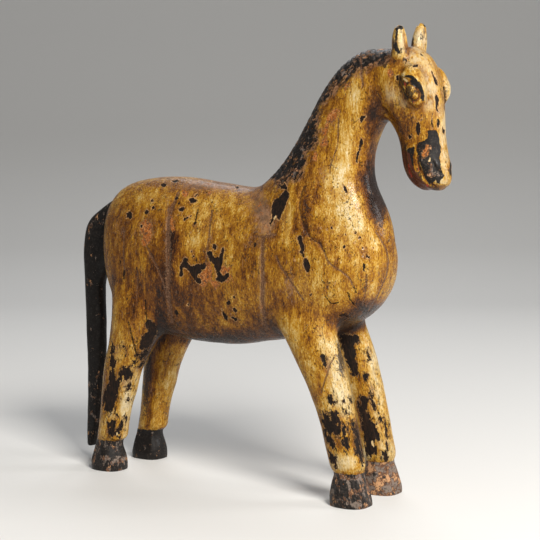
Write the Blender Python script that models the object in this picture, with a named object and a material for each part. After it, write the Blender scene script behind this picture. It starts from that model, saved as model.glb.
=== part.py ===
"""A carved wooden horse: the horse, in one piece with its legs, hooves and ears, and the tail on its rump.

The horse faces +X, its left side is +Y and +Z is up. The origin is on the floor, under the middle of the
object's box. Outlines are in millimetres of a figure that is REFERENCE_HEIGHT tall, and scale with
FIGURE_HEIGHT.
"""

import bmesh
import bpy
import numpy as np
from mathutils import Matrix, Vector

# Driving dimensions, in metres.
FIGURE_HEIGHT = 0.453
REFERENCE_HEIGHT = 453.0
MM = FIGURE_HEIGHT / REFERENCE_HEIGHT
HOOF_HEIGHT = 0.029
FORE_HOOF_LENGTH = 0.0405
FORE_HOOF_WIDTH = 0.0385
HIND_HOOF_LENGTH = 0.0385
HIND_HOOF_WIDTH = 0.0345
FORE_TRACK = 0.0645
HIND_TRACK = 0.0685
TAIL_THICKNESS = 0.018
TAIL_JOINT_GAP = 0.0003

# How finely the wood is worked.
CARVING_GRID = 0.0016
HORSE_TRIANGLES = 9000
TAIL_TRIANGLES = 700
RING_SIDES = 40
STEPS_BETWEEN_RINGS = 4

# Each ring runs from a point on the upper or front outline to one on the lower or back outline:
# upper x, upper z, lower x, lower z, half width, all in millimetres of the reference figure.
TORSO = (
    (-168, 256, -165, 216, 10),
    (-161, 276.5, -157, 192, 24),
    (-151, 289, -148, 172, 35),
    (-134, 299.5, -132, 157, 43),
    (-100, 305.5, -102, 146, 49),
    (-64, 306, -66, 139, 51),
    (-30, 302, -30, 137, 50),
    (5, 298, 5, 138, 49),
    (40, 296, 36, 144, 50),
    (85, 296, 80, 151, 51.5),
    (124, 285, 115, 159, 50),
    (148, 269, 140, 172, 42.5),
    (164.5, 253, 158.5, 190, 30),
    (171.5, 238, 168, 210, 12),
)
NECK = (
    (-4, 285, 143, 190, 38),
    (28, 300, 169, 240, 44),
    (49, 319, 163, 275, 36),
    (67, 342.5, 150, 301, 30),
    (84.5, 372, 149, 325, 26.5),
    (101.5, 398.5, 156, 346, 25),
    (119.5, 417, 166, 362, 24),
    (142, 429, 182, 370, 22),
    (165, 429, 200, 380, 16),
)
HEAD = (
    (194, 429, 162, 428, 10),
    (207, 421, 153, 422, 20),
    (215, 408, 150, 408, 25),
    (219, 393, 154, 391, 26),
    (221.5, 378, 161, 375, 24.5),
    (223, 362, 170, 360, 21),
    (224, 348, 177.5, 348, 18.5),
    (226, 334, 181, 337, 18.5),
    (229, 320, 182.5, 325, 20),
    (231, 309, 186, 313, 19.5),
    (227, 299, 193, 302, 14),
    (217, 295, 202, 296, 6),
)
# A leg's rings lie level: z, middle x, half length, half width, and how far its middle is outside the
# hoof's own, in millimetres.
FORELEG = (
    (30, 144, 14.6, 14, 0),
    (36, 142.8, 17.1, 15.6, 0),
    (43, 141.5, 17.7, 16, 0.3),
    (57, 137.9, 18, 16.3, 0.7),
    (76, 133.5, 18.4, 16.8, 1),
    (102, 125.3, 20.8, 17.6, 1.2),
    (130, 113.8, 25.2, 19, 1),
    (152, 103, 28.2, 19.5, 0),
    (180, 89, 33, 19, -2),
    (215, 86, 34, 15, -6),
    (245, 84, 24, 10, -10),
)
HINDLEG = (
    (29, -141.8, 14.6, 13, 0),
    (34, -140.6, 16.2, 14, 0),
    (55, -137, 16.6, 14.5, 0),
    (71, -134, 18, 15, 0),
    (81, -131.3, 19.8, 16, 0),
    (95, -128.6, 20.8, 17, 0),
    (106, -126.2, 22.2, 17.8, 0),
    (123, -119.6, 25, 18.8, -0.5),
    (138, -112.8, 28, 19.5, -1),
    (165, -106, 33, 20, -2.5),
    (200, -106, 34, 18, -5),
    (240, -106, 27, 12, -9),
)
# Shares of the hoof's height, length and width, and how far back its middle is, in millimetres.
HOOF = (
    (-0.20, 1.00, 1.00, 0),
    (0.00, 1.00, 1.00, 0),
    (0.25, 0.985, 0.985, 0.3),
    (0.50, 0.94, 0.94, 0.8),
    (0.78, 0.84, 0.85, 1.8),
    (1.00, 0.74, 0.76, 2.6),
    (1.10, 0.62, 0.64, 2.8),
)
FORE_HOOF_X = 146.7
HIND_HOOF_X = -144.6
# The carver set the left foreleg a little behind the right one and nearer the middle.
LEFT_FORELEG_BACK = 2.2
LEFT_FORELEG_IN = 1.5

# The tail's rings: outer x, outer z, inner x, inner z, share of the tail's thickness.
TAIL = (
    (-156, 284, -146, 226, 0.9),
    (-179, 270.5, -162, 214, 1.05),
    (-197, 255, -172, 203, 1.1),
    (-203, 229, -177.5, 192, 1.05),
    (-202, 192, -178.5, 178, 1.0),
    (-201, 150, -177.5, 148, 0.95),
    (-199.5, 110, -178.5, 109, 0.95),
    (-199.5, 70, -182, 70, 0.9),
    (-201, 35, -187, 35, 0.82),
    (-201, 14, -191.5, 15, 0.74),
    (-200, 12, -194, 13, 0.6),
)

# The carving on the skin, as points x, z or x, y, z in millimetres. The y of a point is on the left.
# Tilts are in degrees.
EYE_CENTRE = (205.5, 23.5, 393)
EYE_RADII = (11, 11, 20)
EYE_TILT = 16
LID_CENTRE = (207, 388)
LID_HALF_LENGTH = 18
LID_HALF_WIDTH = 10
LID_TILT = 34
MOUTH = ((190.5, 333), (192, 322), (197, 311), (206, 301.5), (216, 294))
LIP = ((201, 328), (206, 319), (212, 310), (219, 303), (229, 297.5))
NOSTRIL = (226, 9.5, 311)
JAW = ((150, 386), (162.5, 378.5), (171.5, 369), (180.5, 359))
EAR_BASE = (187, 17.5, 417)
LEFT_EAR_HEIGHT = 36
RIGHT_EAR_HEIGHT = 32
EAR_SPLAY = 6
EAR_OUTLINE = (
    (0, 7.5, 8.5),
    (0.25, 7.2, 8.8),
    (0.5, 6.2, 8.6),
    (0.72, 5, 7.4),
    (0.9, 3.6, 5.2),
    (1, 1.6, 2.2),
)

# How deep each cut goes and how wide it is, in millimetres.
LID_GROOVE_DEPTH = 1.5
LID_RIM_RISE = 0.5
MOUTH_DEPTH, MOUTH_WIDTH = 2, 1.8
LIP_DEPTH, LIP_WIDTH = 1.5, 1.8
NOSTRIL_DEPTH, NOSTRIL_WIDTH, NOSTRIL_LENGTH = 2.8, 3.2, 4.8
JAW_DEPTH, JAW_WIDTH = 1.8, 3.5
EAR_HOLLOW_DEPTH, EAR_HOLLOW_WIDTH, EAR_HOLLOW_LENGTH = 3.2, 3.8, 9
# The cuff of each leg swells over a groove that runs round the top of the hoof.
CORONET_DEPTH, CORONET_WIDTH, CORONET_ABOVE_HOOF = 1.3, 2.5, 1.5
CUFF_RISE, CUFF_WIDTH, CUFF_ABOVE_HOOF = 0.5, 4, 8

# The smoothing fades between the two places of each pair, in millimetres.
FACE_KEPT_SHARP = (345, 375)
FEET_KEPT_SHARP = (60, 130)
CROWN_SMOOTH_ABOVE = (398, 408)
CROWN_SMOOTH_BEHIND = (160, 172)
SMOOTHING_OF_BODY = 70
SMOOTHING_OF_ALL = 9


def clear_scene():
    """Removes whatever the scene holds."""
    for thing in list(bpy.data.objects):
        bpy.data.objects.remove(thing)


def painted(name, colour, roughness):
    """A plain paint."""
    material = bpy.data.materials.new(name)
    material.use_nodes = True
    shader = material.node_tree.nodes["Principled BSDF"]
    shader.inputs["Base Color"].default_value = (*colour, 1)
    shader.inputs["Roughness"].default_value = roughness
    shader.inputs["Metallic"].default_value = 0
    material.diffuse_color = (*colour, 1)
    return material


def eased(rows, steps):
    """The rows with others put between them, on Catmull-Rom curves through each of their values."""
    rows = np.array(rows, float)
    padded = np.vstack([2 * rows[0] - rows[1], rows, 2 * rows[-1] - rows[-2]])
    made = []
    for i in range(1, len(padded) - 2):
        before, start, end, after = padded[i - 1 : i + 3]
        for t in np.arange(steps) / steps:
            made.append(
                start
                + 0.5 * t * (end - before)
                + t**2 * (before - 2.5 * start + 2 * end - 0.5 * after)
                + t**3 * 0.5 * (3 * (start - end) + after - before)
            )
    made.append(rows[-1])
    return np.array(made)


def superellipse(sides, fullness):
    """Points round a unit superellipse, as (across, along) pairs. Fullness 2 is an ellipse."""
    angle = np.arange(sides) * 2 * np.pi / sides
    across, along = np.cos(angle), np.sin(angle)
    power = 2 / fullness
    return np.column_stack(
        [np.sign(across) * abs(across) ** power, np.sign(along) * abs(along) ** power]
    )


def add_loft(form, rings):
    """Adds a closed shell through the rings, whose points match one to one."""
    loops = [[form.verts.new(point) for point in ring] for ring in rings]
    sides = len(loops[0])
    faces = []
    for lower, upper in zip(loops, loops[1:]):
        for i in range(sides):
            j = (i + 1) % sides
            faces.append(form.faces.new((lower[i], lower[j], upper[j], upper[i])))
    faces.append(form.faces.new(loops[0][::-1]))
    faces.append(form.faces.new(loops[-1]))
    bmesh.ops.recalc_face_normals(form, faces=faces)


def profile_rings(rows, fullness, widest=0.0):
    """Rings that span an outline in the middle plane. Widest moves the broadest place up or down."""
    shape = superellipse(RING_SIDES, fullness)
    rings = []
    for upper_x, upper_z, lower_x, lower_z, half_width in eased(rows, STEPS_BETWEEN_RINGS):
        along = shape[:, 1] + widest * (1 - shape[:, 1] ** 2)
        share = 0.5 + 0.5 * along
        x = lower_x + (upper_x - lower_x) * share
        z = lower_z + (upper_z - lower_z) * share
        rings.append(np.column_stack([x, half_width * shape[:, 0], z]) * MM)
    return rings


def leg_rings(rows, track, side, back, inward):
    """A leg's level rings, on the horse's left (side 1) or right (side -1)."""
    shape = superellipse(RING_SIDES, 2.15)
    rings = []
    for z, x, half_length, half_width, outward in eased(rows, STEPS_BETWEEN_RINGS):
        middle = side * (track / 2 + (outward - inward) * MM)
        rings.append(
            np.column_stack(
                [
                    (x - back + half_length * shape[:, 1]) * MM,
                    middle + half_width * MM * shape[:, 0],
                    np.full(RING_SIDES, z * MM),
                ]
            )
        )
    return rings


def hoof_rings(middle_x, track, length, width, side, back, inward):
    """A hoof's level rings: a rounded block that flares towards the sole."""
    shape = superellipse(RING_SIDES, 2.7)
    middle_y = side * (track / 2 - inward * MM)
    rings = []
    for height, long_share, wide_share, set_back in eased(HOOF, STEPS_BETWEEN_RINGS):
        x = (middle_x - set_back - back) * MM + length / 2 * long_share * shape[:, 1]
        y = middle_y + width / 2 * wide_share * shape[:, 0]
        rings.append(np.column_stack([x, y, np.full(RING_SIDES, height * HOOF_HEIGHT)]))
    return rings


def add_ellipsoid(form, centre, radii, turn):
    """Adds an ellipsoid shell, its own axes turned by the matrix."""
    place = Matrix.Translation(Vector(centre) * MM) @ turn.to_4x4()
    place = place @ Matrix.Diagonal((*(Vector(radii) * MM), 1))
    bmesh.ops.create_icosphere(form, subdivisions=4, radius=1, matrix=place)


def add_ear(form, side):
    """Adds one ear, a blunt leaf that leans outwards a little."""
    base = Vector((EAR_BASE[0], side * EAR_BASE[1], EAR_BASE[2]))
    tall = LEFT_EAR_HEIGHT if side > 0 else RIGHT_EAR_HEIGHT
    shape = superellipse(RING_SIDES, 2.2)
    rings = []
    for height, half_length, half_width in eased(EAR_OUTLINE, STEPS_BETWEEN_RINGS):
        rise = height * tall
        x = base.x + rise * 0.05 + half_length * shape[:, 1]
        y = base.y + side * rise * np.tan(np.radians(EAR_SPLAY)) + half_width * shape[:, 0]
        rings.append(np.column_stack([x, y, np.full(RING_SIDES, base.z + rise)]) * MM)
    add_loft(form, rings)


def horse_form():
    """All the masses of the horse as overlapping closed shells."""
    form = bmesh.new()
    add_loft(form, profile_rings(TORSO, 2.25, widest=-0.06))
    add_loft(form, profile_rings(NECK, 2.05, widest=-0.1))
    add_loft(form, profile_rings(HEAD, 2.3))
    for side in (1, -1):
        back, inward = (LEFT_FORELEG_BACK, LEFT_FORELEG_IN) if side > 0 else (0, 0)
        add_loft(form, leg_rings(FORELEG, FORE_TRACK, side, back, inward))
        fore = hoof_rings(FORE_HOOF_X, FORE_TRACK, FORE_HOOF_LENGTH, FORE_HOOF_WIDTH, side, back, inward)
        add_loft(form, fore)
        add_loft(form, leg_rings(HINDLEG, HIND_TRACK, side, 0, 0))
        add_loft(form, hoof_rings(HIND_HOOF_X, HIND_TRACK, HIND_HOOF_LENGTH, HIND_HOOF_WIDTH, side, 0, 0))
        add_ear(form, side)
        centre = (EYE_CENTRE[0], side * EYE_CENTRE[1], EYE_CENTRE[2])
        add_ellipsoid(form, centre, EYE_RADII, Matrix.Rotation(np.radians(-EYE_TILT), 3, "Y"))
    return form


def placed(name, form, material):
    """A new object in the scene that holds the form."""
    mesh = bpy.data.meshes.new(name)
    form.to_mesh(mesh)
    form.free()
    mesh.materials.append(material)
    thing = bpy.data.objects.new(name, mesh)
    bpy.context.scene.collection.objects.link(thing)
    return thing


def settle(thing):
    """Replaces an object's mesh by what its modifiers make of it."""
    graph = bpy.context.evaluated_depsgraph_get()
    graph.update()
    made = bpy.data.meshes.new_from_object(thing.evaluated_get(graph))
    thing.modifiers.clear()
    thing.data = made


def points_of(mesh):
    """The mesh's points as an array."""
    points = np.empty(len(mesh.vertices) * 3)
    mesh.vertices.foreach_get("co", points)
    return points.reshape(-1, 3)


def normals_of(mesh):
    """The mesh's point normals as an array."""
    normals = np.empty(len(mesh.vertices) * 3)
    mesh.vertices.foreach_get("normal", normals)
    return normals.reshape(-1, 3)


def relax(mesh, strength, rounds):
    """Moves each point towards the middle of its neighbours, by its own share from 0 to 1, so many times."""
    points = points_of(mesh)
    ends = np.empty(len(mesh.edges) * 2, int)
    mesh.edges.foreach_get("vertices", ends)
    one, two = ends.reshape(-1, 2).T
    count = np.bincount(ends, minlength=len(points))
    for _ in range(rounds):
        total = np.column_stack(
            [
                np.bincount(one, points[two, k], len(points)) + np.bincount(two, points[one, k], len(points))
                for k in range(3)
            ]
        )
        points += strength[:, None] * (total / count[:, None] - points)
    mesh.vertices.foreach_set("co", points.ravel())
    mesh.update()


def fuse(thing, grid):
    """Makes overlapping shells one skin."""
    remesh = thing.modifiers.new("fuse", "REMESH")
    remesh.mode = "VOXEL"
    remesh.voxel_size = grid
    settle(thing)


def level(value, low, high):
    """0 below low, 1 above high, eased between."""
    share = np.clip((value - low) / (high - low), 0, 1)
    return share * share * (3 - 2 * share)


def bell(distance, width):
    """1 at distance 0, falling off smoothly over the width."""
    return np.exp(-((distance / width) ** 2))


def distance_to_path(places, path):
    """How far each place is from the nearest of the path's straight pieces."""
    path = np.array(path, float)
    nearest = np.full(len(places), np.inf)
    for start, end in zip(path, path[1:]):
        run = end - start
        along = np.clip((places - start) @ run / (run @ run), 0, 1)
        nearest = np.minimum(nearest, np.linalg.norm(places - start - along[:, None] * run, axis=1))
    return nearest


def eye_carving(x, y, z):
    """The lid stands up round the eyeball, with a groove between them."""
    turn = np.radians(LID_TILT)
    right, up = x - LID_CENTRE[0], z - LID_CENTRE[1]
    along = right * np.sin(turn) - up * np.cos(turn)
    across = right * np.cos(turn) + up * np.sin(turn)
    ring = np.hypot(along / LID_HALF_LENGTH, across / LID_HALF_WIDTH)
    relief = LID_RIM_RISE * bell(ring - 0.95, 0.15) - LID_GROOVE_DEPTH * bell(ring - 0.62, 0.16)
    return relief * level(abs(y), 18, 24)


def carve(mesh):
    """Carves the eyes, mouth, nostrils, ears, jaw and the cuffs over the hooves into the skin."""
    points = points_of(mesh) / MM
    x, y, z = points.T
    profile = points[:, [0, 2]]
    mirrored = np.column_stack([x, abs(y), z])
    relief = eye_carving(x, y, z)
    relief -= MOUTH_DEPTH * bell(distance_to_path(profile, MOUTH), MOUTH_WIDTH)
    relief -= LIP_DEPTH * bell(distance_to_path(profile, LIP), LIP_WIDTH)
    slot = (mirrored - NOSTRIL) / (NOSTRIL_WIDTH, NOSTRIL_WIDTH, NOSTRIL_LENGTH)
    relief -= NOSTRIL_DEPTH * bell(np.linalg.norm(slot, axis=1), 1)
    jaw = level(abs(y), 10, 16) * (1 - level(z, 370, 388))
    relief -= JAW_DEPTH * bell(distance_to_path(profile, JAW), JAW_WIDTH) * jaw
    above_hoof = z - HOOF_HEIGHT / MM
    relief += CUFF_RISE * bell(above_hoof - CUFF_ABOVE_HOOF, CUFF_WIDTH)
    relief -= CORONET_DEPTH * bell(above_hoof - CORONET_ABOVE_HOOF, CORONET_WIDTH)
    normals = normals_of(mesh)
    rise = z - EAR_BASE[2]
    lean = EAR_BASE[1] + rise * np.tan(np.radians(EAR_SPLAY))
    hollow = bell(abs(y) - lean, EAR_HOLLOW_WIDTH) * level(rise, 7, 11)
    hollow *= bell(rise - 0.58 * RIGHT_EAR_HEIGHT, EAR_HOLLOW_LENGTH)
    relief -= EAR_HOLLOW_DEPTH * hollow * level(normals[:, 0], 0.2, 0.7)
    points += normals * relief[:, None]
    mesh.vertices.foreach_set("co", (points * MM).ravel())
    mesh.update()


def cut_soles(thing):
    """Cuts the hooves off flat at the floor."""
    form = bmesh.new()
    form.from_mesh(thing.data)
    every = form.verts[:] + form.edges[:] + form.faces[:]
    cut = bmesh.ops.bisect_plane(form, geom=every, plane_co=(0, 0, 0), plane_no=(0, 0, 1), clear_inner=True)
    rim = [edge for edge in cut["geom_cut"] if isinstance(edge, bmesh.types.BMEdge)]
    bmesh.ops.contextual_create(form, geom=rim)
    bmesh.ops.recalc_face_normals(form, faces=form.faces[:])
    form.to_mesh(thing.data)
    form.free()


def blend(mesh):
    """Smooths the skin: much on the body and neck, little on the head and the feet."""
    x, _, z = points_of(mesh).T / MM
    head = level(x + 0.5 * z, *FACE_KEPT_SHARP)
    feet = 1 - level(z, *FEET_KEPT_SHARP)
    crown = level(z, *CROWN_SMOOTH_ABOVE) * (1 - level(x, *CROWN_SMOOTH_BEHIND))
    sharp = np.maximum(head * (1 - crown), feet)
    relax(mesh, 0.5 * (1 - sharp), SMOOTHING_OF_BODY)
    relax(mesh, np.full(len(z), 0.5), SMOOTHING_OF_ALL)


def thin_out(thing, triangles):
    """Brings the number of triangles down to about this many."""
    thing.data.calc_loop_triangles()
    thin = thing.modifiers.new("facets", "DECIMATE")
    thin.ratio = triangles / len(thing.data.loop_triangles)
    settle(thing)


def make_horse():
    """The horse, in one piece down to its hooves."""
    horse = placed("horse", horse_form(), painted("ochre_paint", (0.55, 0.33, 0.07), 0.45))
    fuse(horse, CARVING_GRID)
    blend(horse.data)
    carve(horse.data)
    thin_out(horse, HORSE_TRIANGLES)
    cut_soles(horse)
    return horse


def make_tail(horse):
    """The tail, cut to lie against the rump."""
    form = bmesh.new()
    rows = np.array(TAIL)
    rows[:, 4] *= TAIL_THICKNESS / 2 / MM
    add_loft(form, profile_rings(rows, 2.6))
    tail = placed("tail", form, painted("black_paint", (0.02, 0.018, 0.016), 0.5))
    thin_out(tail, TAIL_TRIANGLES)
    block = bpy.data.objects.new("rump_cutter", horse.data.copy())
    bpy.context.scene.collection.objects.link(block)
    grown = points_of(block.data) + TAIL_JOINT_GAP * normals_of(block.data)
    block.data.vertices.foreach_set("co", grown.ravel())
    block.hide_render = True
    block.display_type = "WIRE"
    cut = tail.modifiers.new("seat", "BOOLEAN")
    cut.operation = "DIFFERENCE"
    cut.object = block
    settle(tail)
    bpy.data.objects.remove(block)
    return tail


def stand_over_origin(things):
    """Moves the things together until the middle of their box is over the origin."""
    points = np.vstack([points_of(thing.data) for thing in things])
    middle = (points.min(0) + points.max(0)) / 2
    for thing in things:
        thing.data.transform(Matrix.Translation((-middle[0], -middle[1], 0)))


clear_scene()
horse = make_horse()
tail = make_tail(horse)
stand_over_origin([horse, tail])
for piece in (horse, tail):
    piece.data.shade_smooth()
    piece.data.set_sharp_from_angle(angle=np.radians(50))
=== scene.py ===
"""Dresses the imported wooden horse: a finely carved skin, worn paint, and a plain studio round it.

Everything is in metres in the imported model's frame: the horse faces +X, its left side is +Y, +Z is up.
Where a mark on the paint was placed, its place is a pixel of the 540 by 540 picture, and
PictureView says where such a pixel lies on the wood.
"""

import functools
import logging
import math
from dataclasses import dataclass, field
from enum import Enum

import bmesh
import bpy
import numpy as np
from bpy.types import Material, Mesh, Node, NodeSocket, NodeTree, Object
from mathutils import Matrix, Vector
from mathutils.bvhtree import BVHTree


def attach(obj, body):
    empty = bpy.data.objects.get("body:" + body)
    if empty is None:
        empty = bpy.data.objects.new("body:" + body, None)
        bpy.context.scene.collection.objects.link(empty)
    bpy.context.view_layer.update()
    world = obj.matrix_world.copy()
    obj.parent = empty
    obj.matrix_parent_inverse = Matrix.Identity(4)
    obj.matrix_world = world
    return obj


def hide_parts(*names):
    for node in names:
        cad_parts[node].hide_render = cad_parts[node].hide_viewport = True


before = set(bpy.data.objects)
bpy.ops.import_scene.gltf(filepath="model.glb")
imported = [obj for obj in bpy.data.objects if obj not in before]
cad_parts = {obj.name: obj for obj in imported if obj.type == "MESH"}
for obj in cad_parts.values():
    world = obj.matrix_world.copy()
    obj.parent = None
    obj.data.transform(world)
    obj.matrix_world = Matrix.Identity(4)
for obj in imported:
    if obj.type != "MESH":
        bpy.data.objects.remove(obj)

LOG = logging.getLogger("wooden_horse")
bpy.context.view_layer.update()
MM = 0.001
REACH = 8.0

Pixel = tuple[float, float]
Outline = tuple[Pixel, ...]
Point = tuple[float, float, float]
Array = np.ndarray
Feed = NodeSocket | float | Point
Sockets = dict[str, NodeSocket]


class Layer(Enum):
    """What the horse's and the tail's skins keep at each point for their finishes."""

    GRAIN = "grain"
    BARE = "bare"
    PRIMER = "primer"
    BLACK = "black"
    TONE_AND_LIGHT = "tone"
    SCUFF_AND_SHEEN = "scuff"
    STAIN_AND_SHADE = "stain"
    MANE = "mane"
    CREAM = "cream"
    RED = "red"
    LIP = "lip"
    SEAM = "seam"
    CRACK = "crack"
    FOLD = "fold"
    HOOF = "hoof"
    HOOF_WEAR = "hoof_wear"
    HOLLOW = "hollow"
    FLAKING = "flaking"
    WEAR = "wear"


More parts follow.
